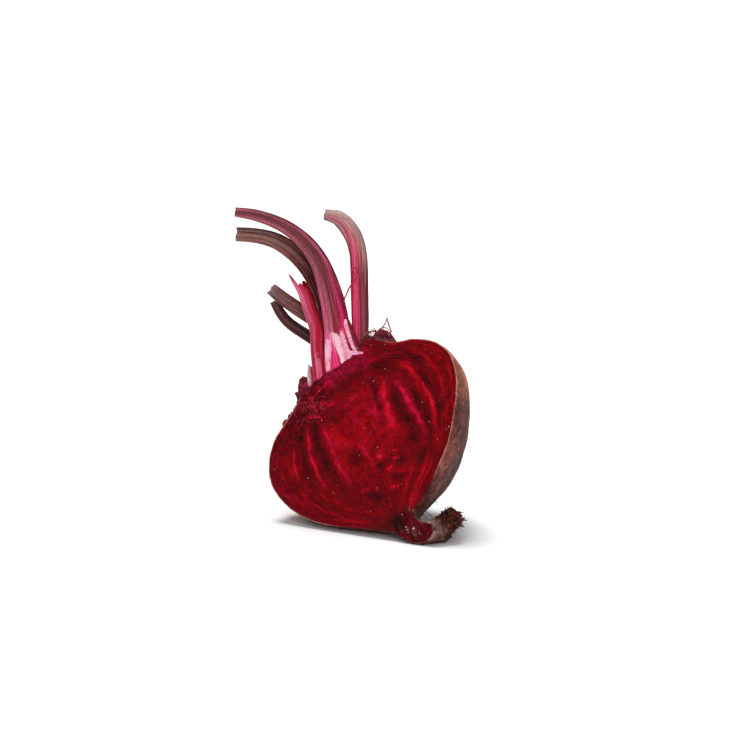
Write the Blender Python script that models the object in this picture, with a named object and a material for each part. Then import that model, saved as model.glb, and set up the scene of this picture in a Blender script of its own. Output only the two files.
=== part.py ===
"""Half of a beetroot, cut lengthwise, with its leaf stalks and a stub of its taproot.

The half is modelled in a frame of its own: X runs across the cut face, Y goes into the flesh
behind it, and Z is the long axis of the root, from the tail up to the crown. One empty then gives
the half the attitude that it rests in, on a small flat under its round side, with the cut face
towards -Y. The pieces are the root, with its crown and tail, and each leaf stalk.
"""
import math
import random

import bmesh
import bpy
from mathutils import Euler, Vector

MM = 0.001
GAP = 0.3  # clearance between pieces that touch, in mm
SHARP_ANGLE = math.radians(40)

# How the half rests, in degrees and mm
FACE_TURN = -31.0
FACE_LEAN = -23.5
AXIS_ROLL = -36.0
FACE_HEIGHT = 33.8
FLAT_RISE = 1.0
FLAT_BLEND = 5.0
FLAT_PRESS = 0.6
FLAT_SETBACK = (2.0, 10.0)

# The root's outline on each side of its axis, from tail to crown: radius and height in mm
RIGHT_SIDE = [
    (0.0, -40.0), (5.6, -38.6), (9.6, -36.4), (15.0, -32.8), (22.6, -26.7), (31.0, -19.2),
    (37.2, -10.8), (41.8, -2.6), (44.4, 5.0), (44.2, 12.0), (40.8, 18.5), (33.6, 24.2),
    (25.0, 27.6), (15.5, 30.2), (7.5, 30.8), (0.0, 30.4),
]
LEFT_SIDE = [
    (0.0, -40.0), (3.2, -38.5), (7.2, -36.0), (14.0, -32.0), (22.4, -26.5), (30.8, -19.5),
    (37.0, -11.3), (40.4, -3.0), (40.9, 5.0), (38.2, 12.0), (33.2, 17.6), (26.6, 21.6),
    (20.4, 25.4), (14.8, 28.8), (8.0, 30.2), (0.0, 30.4),
]
BACK_SIDE = [
    (0.0, -40.0), (3.8, -38.4), (9.0, -35.8), (18.0, -31.2), (27.4, -24.6), (35.0, -16.6),
    (39.2, -8.6), (40.6, -1.0), (40.0, 6.0), (37.8, 12.6), (34.0, 18.8), (28.6, 24.2),
    (22.4, 29.0), (15.6, 32.4), (8.0, 32.2), (0.0, 30.4),
]
ROOT_ROWS = 46
ROOT_COLUMNS = 60
LOBE_HEIGHT = 1.5
LOBE_PHASE = -0.3
LOBE_FULL_RADIUS = 30.0
FOLD_COUNT = 11
FOLD_DEPTH = 0.05
FOLD_FROM, FOLD_TO = -16.0, -32.0

# The taproot's stub: points on its axis and its radius there, in mm
TAIL_PATH = [
    (0.5, 1.0, -31.0, 6.4), (2.6, 1.1, -38.2, 5.2), (5.3, 1.3, -43.0, 4.7), (8.7, 2.2, -45.4, 4.3),
    (12.7, 4.9, -45.1, 4.0), (16.2, 7.8, -43.5, 3.7), (19.1, 10.0, -41.2, 3.1),
]
TAIL_SIDES = 14
TAIL_RINGS = 18
TAIL_RAGGED = 1.4
TAIL_WRINKLE = 0.09
ROOTLETS, ROOTLET_SIDES = 7, 5
ROOTLET_RADIUS, ROOTLET_LENGTH, ROOTLET_SPREAD = 0.35, 5.0, 4

# Scars and stumps of older stalks round the crown, in rings: radius, count, height and half width
# in mm, and the first and last angle in degrees from the right edge of the cut face
STUMP_RINGS = [
    (8.8, 5, 2.4, 1.7, 40, 150), (17.0, 9, 3.4, 2.6, 76, 174), (21.0, 11, 2.6, 2.8, 68, 176),
    (25.0, 12, 1.6, 3.0, 60, 172), (17.0, 4, 6.4, 2.4, 14, 66), (21.5, 6, 4.6, 2.6, 8, 62),
]
STUMP_THICKNESS = 0.55
STUMP_SUNK = 3.0
STUMP_TAPER = 0.72
STUMP_SIDES = 8
STUMP_LEAN = 0.34
KNOB = ((-15.2, 1.8, 27.5), (-14.1, 2.0, 35.2), 2.8, 1.7)
MOUND = ((18.8, 7.8, 24.0), (17.9, 6.4, 37.2), 7.8, 4.2)
KNOB_SIDES = 11

# Each stalk: points on its axis with its width there in mm, its thickness over its width, and
# the side that its back faces at the base and at the tip. The broad side is the one that shows.
BROAD_SIDE = (0.3, -0.85, -0.43)
CHANNEL_SIDE = (-0.3, 0.85, 0.43)
STALKS = {
    "petiole_long_upper": {
        "path": [
            (1.9, 1.2, 29.0, 12.4), (2.7, 1.5, 34.1, 11.8), (4.1, 2.3, 40.8, 10.4),
            (5.9, 3.2, 48.2, 9.8), (8.0, 2.4, 56.6, 9.4), (9.8, 0.4, 64.7, 8.2),
            (10.9, -2.6, 71.9, 7.0), (10.3, -6.0, 79.1, 6.1), (7.7, -10.0, 86.0, 5.4),
            (4.0, -13.8, 91.2, 4.8), (-1.0, -17.6, 95.9, 4.3), (-6.2, -21.4, 99.2, 3.5),
        ],
        "flatness": 0.62, "faces": ((0.0, -1.0, 0.0), BROAD_SIDE), "end": "cut",
        "sliced": True, "color": "8C1F45",
    },
    "petiole_long_lower": {
        "path": [
            (-2.0, 7.4, 29.5, 5.0), (-2.7, 8.0, 37.0, 5.4), (-0.8, 8.7, 46.7, 5.8),
            (1.8, 8.8, 55.9, 6.0), (3.4, 7.0, 63.8, 6.4), (4.0, 4.4, 70.5, 6.8),
            (4.1, 0.9, 75.9, 7.0), (2.3, -2.8, 82.0, 6.6), (-1.0, -6.6, 87.6, 6.1),
            (-6.0, -10.2, 91.8, 5.6), (-12.0, -14.2, 94.9, 5.3),
        ],
        "flatness": 0.62, "faces": ((0.0, -1.0, 0.0), BROAD_SIDE), "end": "cut",
        "sliced": False, "color": "4E1626",
    },
    "petiole_broken": {
        "path": [
            (-7.8, 1.1, 29.1, 5.4), (-6.6, 1.3, 33.6, 5.6), (-4.5, 2.3, 42.1, 5.8),
            (-2.1, 2.8, 50.2, 5.7), (-0.7, 0.4, 57.3, 5.4), (0.5, -2.0, 62.9, 5.3),
            (0.3, -3.4, 66.2, 5.6),
        ],
        "flatness": 0.72, "faces": ((0.0, -1.0, 0.0), BROAD_SIDE), "end": "sliver",
        "sliced": True, "color": "C0144F",
    },
    "petiole_right": {
        "path": [
            (9.3, 5.6, 29.6, 6.4), (10.8, 5.8, 36.2, 6.4), (14.8, 6.2, 46.8, 6.8),
            (19.1, 5.2, 56.5, 6.9), (22.5, 3.9, 63.2, 6.9), (25.2, 2.4, 68.6, 6.6),
            (26.9, 0.4, 73.8, 6.6), (27.2, -2.4, 78.6, 6.4), (25.8, -5.4, 82.6, 5.4),
            (22.4, -8.4, 85.0, 3.8),
        ],
        "flatness": 0.62, "faces": ((0.0, 1.0, 0.0), CHANNEL_SIDE), "end": "cut",
        "sliced": False, "color": "A32A54",
    },
    "petiole_bent_upper": {
        "path": [
            (1.6, 12.6, 29.5, 4.4), (1.2, 13.4, 37.0, 4.5), (0.6, 14.4, 45.0, 4.7),
            (-2.1, 14.2, 53.3, 5.0), (-4.7, 11.8, 58.4, 5.2), (-7.2, 8.6, 62.8, 5.2),
            (-9.1, 6.1, 66.4, 5.2), (-11.1, 3.3, 70.4, 5.0), (-12.7, 0.1, 74.6, 4.5),
        ],
        "flatness": 0.62, "faces": ((0.0, -1.0, 0.0), BROAD_SIDE), "end": "cut",
        "sliced": False, "color": "44202A",
    },
    "petiole_bent_lower": {
        "path": [
            (-4.4, 12.6, 29.0, 3.4), (-4.6, 13.2, 36.0, 3.6), (-6.0, 13.6, 44.1, 3.9),
            (-7.9, 13.4, 50.3, 4.2), (-10.6, 12.6, 55.4, 4.3), (-13.5, 10.8, 60.3, 4.2),
            (-15.0, 9.0, 63.9, 4.0), (-15.4, 6.8, 67.5, 3.8), (-15.2, 4.8, 71.8, 3.4),
        ],
        "flatness": 0.7, "faces": ((0.0, -1.0, 0.0), BROAD_SIDE), "end": "cut",
        "sliced": False, "color": "3A1820",
    },
    "petiole_stub": {
        "path": [
            (-12.2, 0.9, 28.6, 2.0), (-11.8, 1.0, 31.0, 2.2), (-11.0, 1.1, 34.2, 1.9),
            (-9.8, 1.0, 37.4, 1.1),
        ],
        "flatness": 0.8, "faces": ((0.0, -1.0, 0.0), (0.0, -1.0, 0.0)), "end": "sliver",
        "sliced": True, "color": "D9AEBB",
    },
}
STALK_SIDES = 20
STALK_RIBS = 5
RIB_HEIGHT = 0.06
CHANNEL_DEPTH = 0.3
RING_SPACING = 4.2
MIN_RINGS = 5
SLIVER_REACH = 1.2
SLIVER_LEAN = -0.35

# The halving cut goes through the whole root, and through the stalks up to this height
STALK_CUT_TOP = 50.0
CUTTER_SIZE = 140.0
SOCKET_TOP = 40.0

SKIN = "5E3B38"
SEED = 11


def spline(points, count):
    """Evenly numbered points on a Catmull-Rom curve through the given ones."""
    last = len(points) - 1
    out = []
    for i in range(count):
        place = i * last / (count - 1)
        k = min(int(place), last - 1)
        t = place - k
        before, start = points[max(k - 1, 0)], points[k]
        end, after = points[k + 1], points[min(k + 2, last)]
        out.append([
            0.5 * (2 * b + (c - a) * t + (2 * a - 5 * b + 4 * c - d) * t ** 2
                   + (3 * b - a - 3 * c + d) * t ** 3)
            for a, b, c, d in zip(before, start, end, after)
        ])
    return out


def smoothstep(low, high, value):
    t = min(max((value - low) / (high - low), 0.0), 1.0)
    return t * t * (3 - 2 * t)


def attitude():
    """Turn from the half's own frame to the world's."""
    angles = (math.radians(a) for a in (FACE_LEAN, AXIS_ROLL, FACE_TURN))
    return Euler(angles, "YXZ").to_matrix()


def material(name, color, roughness):
    """Principled material from an sRGB hex colour."""
    channels = [int(color[i:i + 2], 16) / 255 for i in (0, 2, 4)]
    linear = [c / 12.92 if c <= 0.04045 else ((c + 0.055) / 1.055) ** 2.4 for c in channels]
    made = bpy.data.materials.new(name)
    made.use_nodes = True
    shader = made.node_tree.nodes["Principled BSDF"]
    shader.inputs["Base Color"].default_value = (*linear, 1.0)
    shader.inputs["Roughness"].default_value = roughness
    shader.inputs["Metallic"].default_value = 0.0
    made.diffuse_color = (*linear, 1.0)
    return made


def mesh_object(name, rings, tip_low=None, tip_high=None):
    """Closed skin over rings of points in mm, each end closed by a fan to its middle."""
    shape = bmesh.new()
    rows = [[shape.verts.new(Vector(p) * MM) for p in ring] for ring in rings]
    sides = len(rows[0])
    for low, high in zip(rows, rows[1:]):
        for i in range(sides):
            j = (i + 1) % sides
            shape.faces.new((low[i], low[j], high[j], high[i]))
    for row, tip, flip in ((rows[0], tip_low, True), (rows[-1], tip_high, False)):
        middle = tip or sum((v.co for v in row), Vector()) / sides / MM
        hub = shape.verts.new(Vector(middle) * MM)
        for i in range(sides):
            edge = (row[(i + 1) % sides], row[i]) if flip else (row[i], row[(i + 1) % sides])
            shape.faces.new((*edge, hub))
    bmesh.ops.recalc_face_normals(shape, faces=shape.faces)
    if shape.calc_volume(signed=True) < 0:
        bmesh.ops.reverse_faces(shape, faces=shape.faces)
    mesh = bpy.data.meshes.new(name)
    shape.to_mesh(mesh)
    shape.free()
    mesh.shade_smooth()
    mesh.set_sharp_from_angle(angle=SHARP_ANGLE)
    made = bpy.data.objects.new(name, mesh)
    bpy.context.collection.objects.link(made)
    return made


def box_object(name, low, high):
    """Closed box between two corners in mm."""
    mesh = bpy.data.meshes.new(name)
    shape = bmesh.new()
    bmesh.ops.create_cube(shape, size=1.0)
    for v in shape.verts:
        v.co = Vector([(b if c > 0 else a) * MM for a, b, c in zip(low, high, v.co)])
    shape.to_mesh(mesh)
    shape.free()
    made = bpy.data.objects.new(name, mesh)
    bpy.context.collection.objects.link(made)
    return made


def as_cutter(piece):
    piece.hide_render = True
    piece.display_type = "WIRE"
    return piece


def boolean(piece, other, operation):
    """Boolean modifier with another object or with a collection."""
    made = piece.modifiers.new(operation.title(), "BOOLEAN")
    made.operation = operation
    made.solver = "EXACT"
    if isinstance(other, bpy.types.Collection):
        made.operand_type = "COLLECTION"
        made.collection = other
    else:
        made.object = other
    return made


def apply_modifiers(piece):
    """The evaluated mesh in place of the piece's own, with no modifier left."""
    graph = bpy.context.evaluated_depsgraph_get()
    result = bpy.data.meshes.new_from_object(piece.evaluated_get(graph), depsgraph=graph)
    piece.modifiers.clear()
    piece.data = result
    return piece


def settle(point, turn):
    """Flatten the round side where it lies on the surface, behind the cut face."""
    place = turn @ Vector(point)
    height = place.z + FACE_HEIGHT
    weight = smoothstep(*FLAT_SETBACK, point[1])
    if height > FLAT_BLEND or weight == 0.0:
        return point
    free = smoothstep(FLAT_RISE, FLAT_BLEND, height)
    pressed = height * free - FLAT_PRESS * (1 - free)
    place.z += (pressed - height) * weight
    return tuple(turn.inverted() @ place)


def root_profile(angle):
    """Radius and height along the whole root's outline at one angle round its axis."""
    share = math.cos(angle) ** 2
    side = RIGHT_SIDE if math.cos(angle) > 0 else LEFT_SIDE
    behind = max(math.sin(angle), 0.0)
    lobe = LOBE_HEIGHT * math.sin(2 * angle + LOBE_PHASE) * behind
    blend = [
        [a * share + b * (1 - share) for a, b in zip(near, back)]
        for near, back in zip(side, BACK_SIDE)
    ]
    points = []
    for radius, height in spline(blend, ROOT_ROWS)[1:-1]:
        radius += lobe * min(radius / LOBE_FULL_RADIUS, 1.0)
        fold = math.cos(FOLD_COUNT * angle) * smoothstep(FOLD_FROM, FOLD_TO, height)
        points.append((max(radius * (1 - FOLD_DEPTH * fold * behind), 0.5), height))
    return points


def crown_height(radius, angle):
    """Height of the crown's surface at a distance from the root's axis."""
    outline = root_profile(angle)[::-1]
    for (near, high), (far, low) in zip(outline, outline[1:]):
        if far >= radius:
            return high + (low - high) * (radius - near) / (far - near)
    return outline[-1][1]


def swollen_root():
    """The round root as a whole, before it is halved."""
    turn = attitude()
    columns = []
    for i in range(ROOT_COLUMNS):
        angle = 2 * math.pi * (i + 0.5) / ROOT_COLUMNS
        columns.append([
            settle((radius * math.cos(angle), radius * math.sin(angle), height), turn)
            for radius, height in root_profile(angle)
        ])
    low, high = (0.0, 0.0, RIGHT_SIDE[0][1]), (0.0, 0.0, RIGHT_SIDE[-1][1])
    return mesh_object("root", list(zip(*columns)), low, high)


def frame_rings(path, count, sides, outline):
    """Rings round a path; outline gives each point's offset across it, through it and along it."""
    points = spline(path, count)
    rings = []
    for i, (x, y, z, size) in enumerate(points):
        before, after = points[max(i - 1, 0)], points[min(i + 1, count - 1)]
        along = (Vector(after[:3]) - Vector(before[:3])).normalized()
        ring = []
        for k in range(sides):
            angle = 2 * math.pi * k / sides
            share = i / (count - 1)
            facing, (across, through, forward) = outline(angle, size, share)
            thick = (facing - along * facing.dot(along)).normalized()
            wide = along.cross(thick)
            place = Vector((x, y, z)) + wide * across + thick * through + along * forward
            ring.append(tuple(place))
        rings.append(ring)
    return rings


def tail():
    """The taproot's stub, which turns aside and ends torn."""
    facing = Vector((0.0, -1.0, 0.2))

    def outline(angle, size, share):
        wrinkle = 1 + TAIL_WRINKLE * math.sin(5 * angle + 7 * share) * smoothstep(0.2, 0.6, share)
        torn = TAIL_RAGGED * math.sin(3 * angle + 1.0) * smoothstep(0.8, 1.0, share)
        radius = size * wrinkle
        return facing, (radius * math.cos(angle), radius * math.sin(angle), torn)

    rings = frame_rings(TAIL_PATH, TAIL_RINGS, TAIL_SIDES, outline)
    return mesh_object("tail", rings)


def spike(name, start, end, sizes, sides, facing=(0.31, 0.87, 0.38), thickness=1.0):
    """Straight tapered piece between two points; thickness is measured along the facing side."""
    facing = Vector(facing)

    def outline(angle, radius, share):
        return facing, (radius * math.cos(angle), thickness * radius * math.sin(angle), 0.0)

    path = [(*start, sizes[0]), (*end, sizes[1])]
    return mesh_object(name, frame_rings(path, 3, sides, outline))


def rootlets(draw):
    """Thick fine roots at the torn end of the tail and in the bend above it."""
    made = []
    tail_points = spline(TAIL_PATH, TAIL_RINGS)
    for i in range(ROOTLETS):
        x, y, z, size = tail_points[-2 - i % ROOTLET_SPREAD]
        lean = Vector((draw.uniform(0.2, 1.0), draw.uniform(-0.1, 0.8), draw.uniform(-0.2, 0.9)))
        lean.normalize()
        start = Vector((x, y, z)) + lean * size * 0.3
        end = start + lean * (size + ROOTLET_LENGTH * draw.uniform(0.3, 0.9))
        sizes = (ROOTLET_RADIUS * 1.6, ROOTLET_RADIUS)
        made.append(spike(f"rootlet_{i}", start, end, sizes, ROOTLET_SIDES))
    return made


def crown_stumps(draw):
    """Scars and stumps of older stalks in rings round the crown, and the knob at its left edge."""
    made = []
    for ring, (radius, count, height, half_width, first, last) in enumerate(STUMP_RINGS):
        for i in range(count):
            angle = math.radians(first + (last - first) * (i + 0.5) / count)
            angle += draw.uniform(-0.06, 0.06)
            outward = Vector((math.cos(angle), math.sin(angle), 0.0))
            base = outward * radius + Vector((0.0, 0.0, crown_height(radius, angle)))
            lean = (outward * STUMP_LEAN + Vector((0.0, 0.0, 1.0))).normalized()
            low, high = base - lean * STUMP_SUNK, base + lean * height * draw.uniform(0.6, 1.25)
            wide = half_width * draw.uniform(0.8, 1.15)
            sizes = (wide, wide * STUMP_TAPER)
            name = f"stump_{ring}_{i}"
            made.append(spike(name, low, high, sizes, STUMP_SIDES, outward, STUMP_THICKNESS))
    for name, (start, end, size, top) in (("knob", KNOB), ("mound", MOUND)):
        made.append(spike(name, start, end, (size, top), KNOB_SIDES))
    return made


def stalk_outline(stalk, spread):
    """Ribbed section with a channel down its inner side, widened by the spread."""
    base, tip = (Vector(side) for side in stalk["faces"])

    def outline(angle, size, share):
        facing = base.lerp(tip, smoothstep(0.3, 1.0, share)).normalized()
        rib = 1 + RIB_HEIGHT * math.cos(STALK_RIBS * angle)
        across = size / 2 * math.cos(angle) * rib
        through = size / 2 * stalk["flatness"] * math.sin(angle) * rib
        channel = math.exp(-(math.cos(angle) / 0.5) ** 2) if math.sin(angle) < 0 else 0.0
        through += size / 2 * stalk["flatness"] * CHANNEL_DEPTH * channel
        across += spread * math.cos(angle)
        through += spread * math.sin(angle)
        left = (0.5 - 0.5 * math.cos(angle)) ** 4
        sliver = size * left * smoothstep(0.8, 1.0, share) if stalk["end"] == "sliver" else 0.0
        return facing, (across - sliver * SLIVER_LEAN, through, sliver * SLIVER_REACH)

    return outline


def stalk_rings(stalk, spread):
    """Rings along a stalk, evenly spaced, widened by the spread."""
    points = [Vector(p[:3]) for p in stalk["path"]]
    length = sum((b - a).length for a, b in zip(points, points[1:]))
    count = max(int(length / RING_SPACING), MIN_RINGS)
    return frame_rings(stalk["path"], count, STALK_SIDES, stalk_outline(stalk, spread))


def stalk_piece(name, stalk, face_cut):
    """One leaf stalk, sliced by the halving cut where it grows from the cut face."""
    piece = mesh_object(name, stalk_rings(stalk, 0.0))
    if stalk["sliced"]:
        boolean(piece, face_cut, "DIFFERENCE")
    piece.data.materials.append(material(name, stalk["color"], 0.45))
    return piece


def stalk_socket(name, stalk):
    """The room that a stalk takes in the crown, with the clearance round it and below it."""
    rings = stalk_rings({**stalk, "end": "cut"}, GAP)
    rings = [ring for ring in rings if min(z for x, y, z in ring) < SOCKET_TOP]
    first, second = (sum((Vector(p) for p in ring), Vector()) / STALK_SIDES for ring in rings[:2])
    down = (first - second).normalized() * GAP
    below = [tuple(Vector(p) + down) for p in rings[0]]
    return as_cutter(mesh_object(name, [below, *rings]))


def main():
    for old in list(bpy.data.objects):
        bpy.data.objects.remove(old, do_unlink=True)
    draw = random.Random(SEED)
    reach = CUTTER_SIZE
    rest = bpy.data.objects.new("attitude", None)
    bpy.context.collection.objects.link(rest)

    root = swollen_root()
    growths = bpy.data.collections.new("growths")
    bpy.context.scene.collection.children.link(growths)
    grown = [tail(), *rootlets(draw), *crown_stumps(draw)]
    for piece in grown:
        bpy.context.collection.objects.unlink(piece)
        growths.objects.link(piece)
    boolean(root, growths, "UNION")
    apply_modifiers(root)
    for piece in grown:
        bpy.data.objects.remove(piece, do_unlink=True)

    front = (-reach, -reach, -reach), (reach, 0.0, reach)
    face_cut = as_cutter(box_object("halving_cut", *front))
    stalk_cut = as_cutter(box_object("stalk_cut", front[0], (reach, 0.0, STALK_CUT_TOP)))
    floor = box_object("surface", (-reach, -reach, -FACE_HEIGHT - reach), (reach, reach, -FACE_HEIGHT))
    floor.data.transform(attitude().inverted().to_4x4())
    as_cutter(floor)
    boolean(root, face_cut, "DIFFERENCE")
    boolean(root, floor, "DIFFERENCE")
    sockets = [stalk_socket(f"socket_{name}", stalk) for name, stalk in STALKS.items()]
    for socket in sockets:
        boolean(root, socket, "DIFFERENCE")
    root.data.materials.clear()
    root.data.materials.append(material("root", SKIN, 0.6))
    stalks = [stalk_piece(name, stalk, stalk_cut) for name, stalk in STALKS.items()]

    for piece in (root, face_cut, stalk_cut, floor, *sockets, *stalks):
        piece.parent = rest
    rest.rotation_mode = "YXZ"
    rest.rotation_euler = attitude().to_euler("YXZ")
    bpy.context.view_layer.update()
    graph = bpy.context.evaluated_depsgraph_get()
    corners = [
        piece.matrix_world @ v.co
        for piece in (root, *stalks)
        for v in piece.evaluated_get(graph).data.vertices
    ]
    low = Vector([min(c[i] for c in corners) for i in range(3)])
    high = Vector([max(c[i] for c in corners) for i in range(3)])
    rest.location = (-(low.x + high.x) / 2, -(low.y + high.y) / 2, FACE_HEIGHT * MM)
    bpy.context.view_layer.update()


main()
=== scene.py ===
"""The looks of half a beetroot: skin, cut flesh, crown, leaf stalks and taproot.

Shapes are worked out in mm in the root's own frame, as it grew: X across the cut face, Y into the
flesh behind it and Z up the root's axis. One function then lays them in the shared frame.
"""
import math
from functools import partial

import bpy
import bmesh
import numpy as np
from mathutils import Euler, Matrix, Vector, noise


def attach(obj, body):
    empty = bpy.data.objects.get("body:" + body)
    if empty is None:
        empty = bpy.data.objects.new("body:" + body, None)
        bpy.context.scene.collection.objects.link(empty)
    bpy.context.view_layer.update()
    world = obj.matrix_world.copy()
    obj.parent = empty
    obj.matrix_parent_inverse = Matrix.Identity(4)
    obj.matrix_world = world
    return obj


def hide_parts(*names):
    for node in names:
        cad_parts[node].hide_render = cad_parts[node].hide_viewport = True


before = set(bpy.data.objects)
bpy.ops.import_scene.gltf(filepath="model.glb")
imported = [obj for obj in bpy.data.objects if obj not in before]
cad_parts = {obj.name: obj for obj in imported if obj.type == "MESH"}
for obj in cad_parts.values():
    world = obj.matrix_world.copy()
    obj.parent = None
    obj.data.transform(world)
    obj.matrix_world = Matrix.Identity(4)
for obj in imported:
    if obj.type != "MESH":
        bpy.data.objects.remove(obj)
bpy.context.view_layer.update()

bpy.context.scene.view_settings.view_transform = "Standard"

# Root: the skin
# A beetroot's skin is a dry cork layer under half a millimetre thick, brownish mauve, rough to the
# touch. It is one shell from the crown to the torn end of the taproot, open where the knife went
# through, where its edge shows as a thin line round the flesh.

# Its outline on each side of the axis, from the tail up: distance from the axis and height
RIGHT_SIDE = np.array([
    (0, -40), (5.6, -38.6), (9.6, -36.4), (15, -32.8), (22.6, -26.7), (31, -19.2), (37.2, -10.8),
    (41.8, -2.6), (44.4, 5), (44.2, 12), (40.8, 18.5), (33.6, 24.2), (25, 27.6), (15.5, 30.2), (7.5, 30.8),
    (0, 30.4),
])
LEFT_SIDE = np.array([
    (0, -40), (3.2, -38.5), (7.2, -36), (14, -32), (22.4, -26.5), (30.8, -19.5), (37, -11.3), (40.4, -3),
    (40.9, 5), (38.2, 12), (33.2, 17.6), (26.6, 21.6), (20.4, 25.4), (14.8, 28.8), (8, 30.2), (0, 30.4),
])
BACK_SIDE = np.array([
    (0, -40), (3.8, -38.4), (9, -35.8), (18, -31.2), (27.4, -24.6), (35, -16.6), (39.2, -8.6), (40.6, -1),
    (40, 6), (37.8, 12.6), (34, 18.8), (28.6, 24.2), (22.4, 29), (15.6, 32.4), (8, 32.2), (0, 30.4),
])
LOBE_HEIGHT, LOBE_PHASE, LOBE_FULL_RADIUS = 1.5, -0.3, 30.0
FOLD_COUNT, FOLD_DEPTH, FOLD_FROM, FOLD_TO = 11, 0.05, -16.0, -32.0
FLAT_RISE, FLAT_BLEND, FLAT_PRESS, FLAT_SETBACK = 1.0, 5.0, 0.6, (2.0, 10.0)
HUMP_AT, HUMP_HEIGHT, HUMP_RADIUS, HUMP_BLUNT, HUMP_FROM = (16.7, 6.6), 7.2, 7.0, 1.6, (15.0, 22.0)
ROOT_ROWS, COLUMNS = 190, 170
ROOT_PLACES = np.linspace(15.0, 2.5, ROOT_ROWS)
# The taproot's stub: middle x, y, z and radius along it
TAIL_PATH = [
    (0.5, 1, -31, 6.4), (2.6, 1.1, -38.2, 5.2), (5.3, 1.3, -43, 4.7), (8.7, 2.2, -45.4, 4.3),
    (12.7, 4.9, -45.1, 4), (16.2, 7.8, -43.5, 3.7), (19.1, 10, -41.2, 3.1),
]
TAIL_PLACES = np.linspace(0.95, 6.0, 84)
TAIL_BEND = (-37.0, -41.5)
NECK_ROWS, NECK_REACH, NECK_PASSES = 10, 6, 10
SKIN_THICKNESS = 0.35
# Depths of the relief in mm, and where the raw crown and the creased tail set in: heights, radii
DENTS, WRINKLES, CROWN_BARK, HUMP_BARK, CREASES, SHREDS = 0.4, 0.1, 0.6, 0.45, 0.28, 0.4
CROWN_ROUGH, CROWN_RED = ((25.5, 30.0), (30.0, 20.0)), ((25.0, 29.5), (33.0, 24.0))
CREASED_FROM = (-34.0, -39.0)
TORN_FROM, TORN_BLEND, TORN_DEPTH = 3.9, 0.6, 0.8
# How strongly the torn end's dark colours are painted on the taproot's underside as shade
UNDERSIDE_PAINTED_SHADE = 0.85
# A cut root rolls until it rests on its round side. These are the turn, lean and roll of its cut
# face in degrees, and where the middle of that face is in the shared frame, in mm.
FACE_TURN, FACE_LEAN, AXIS_ROLL = -31.0, -23.5, -36.0
FACE_MIDDLE = np.array([4.32, -9.6, 33.8])
MM = 0.001
# Points nearer than this, in metres, become one, and edges from this angle in degrees stay sharp
ONE_WITHIN, SHARP_FROM = 2e-6, 50

angles = [math.radians(a) for a in (FACE_LEAN, AXIS_ROLL, FACE_TURN)]
ATTITUDE = np.array(Euler(angles, "YXZ").to_matrix())


def laid(points):
    """Points of the root's own frame, in mm, as they lie in the shared frame, in metres."""
    return (np.asarray(points, float) @ ATTITUDE.T + FACE_MIDDLE) * MM


def ramp(low, high, value):
    """Smooth rise from 0 to 1 between two values."""
    t = np.clip((np.asarray(value, float) - low) / (high - low), 0, 1)
    return t * t * (3 - 2 * t)


def unit(vectors):
    """Vectors along the last axis, each made 1 long."""
    return vectors / np.maximum(np.linalg.norm(vectors, axis=-1, keepdims=True), 1e-9)


def spline(points, places):
    """Catmull-Rom curve through points, read at fractional point numbers."""
    points = np.asarray(points, float)
    last = len(points) - 1
    k = np.clip(places.astype(int), 0, last - 1)
    t = (places - k)[:, None]
    before, start, end, after = (points[np.clip(k + step, 0, last)] for step in (-1, 0, 1, 2))
    return 0.5 * (2 * start + (end - before) * t + (2 * before - 5 * start + 4 * end - after) * t ** 2
                  + (3 * start - before - 3 * end + after) * t ** 3)


def evenly(path, steps):
    """Curve through a path's points, read at so many even steps."""
    return spline(path, np.linspace(0, len(path) - 1, steps))


def lumps(points, size, octaves=3, seed=0.0):
    """Noise from -1 to 1 at each point, with lumps of a size in mm."""
    shift = Vector((seed, 1.7 * seed, -0.6 * seed))
    flat = np.asarray(points, float).reshape(-1, 3) / size
    found = [noise.fractal(Vector(p) + shift, 0.8, 2.0, octaves) for p in flat]
    return np.array(found).reshape(np.shape(points)[:-1])


def quads(rows, columns, start=0, closed=False, flip=False):
    """Faces between neighbours in a grid of points numbered row by row."""
    i, j = np.meshgrid(np.arange(rows - 1), np.arange(columns - (not closed)), indexing="ij")
    k = (j + 1) % columns
    found = np.stack([i * columns + j, i * columns + k, (i + 1) * columns + k, (i + 1) * columns + j], -1)
    found = found.reshape(-1, 4) + start
    return (found[:, ::-1] if flip else found).tolist()


def in_scene(name, data):
    """A new object in the scene, at the origin."""
    made = bpy.data.objects.new(name, data)
    bpy.context.scene.collection.objects.link(made)
    return made


def piece(name, points, faces, values, finish, stands_for):
    """Closed piece from points in mm, with values by name at each point, that stands for a node."""
    mesh = bpy.data.meshes.new(name)
    mesh.from_pydata(laid(points).tolist(), [], faces)
    for label, numbers in values.items():
        mesh.attributes.new(label, "FLOAT", "POINT").data.foreach_set("value", np.float32(numbers))
    shape = bmesh.new()
    shape.from_mesh(mesh)
    bmesh.ops.remove_doubles(shape, verts=shape.verts, dist=ONE_WITHIN)
    bmesh.ops.recalc_face_normals(shape, faces=shape.faces)
    if shape.calc_volume(signed=True) < 0:
        bmesh.ops.reverse_faces(shape, faces=shape.faces)
    shape.to_mesh(mesh)
    shape.free()
    mesh.shade_smooth()
    mesh.set_sharp_from_angle(angle=math.radians(SHARP_FROM))
    made = in_scene(name, mesh)
    mesh.materials.append(finish)
    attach(made, "root")
    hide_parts(stands_for)


def linear(color):
    """Linear RGBA of an sRGB hex colour."""
    channels = [int(color[i:i + 2], 16) / 255 for i in (0, 2, 4)]
    return (*[c / 12.92 if c <= 0.04045 else ((c + 0.055) / 1.055) ** 2.4 for c in channels], 1.0)


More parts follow.
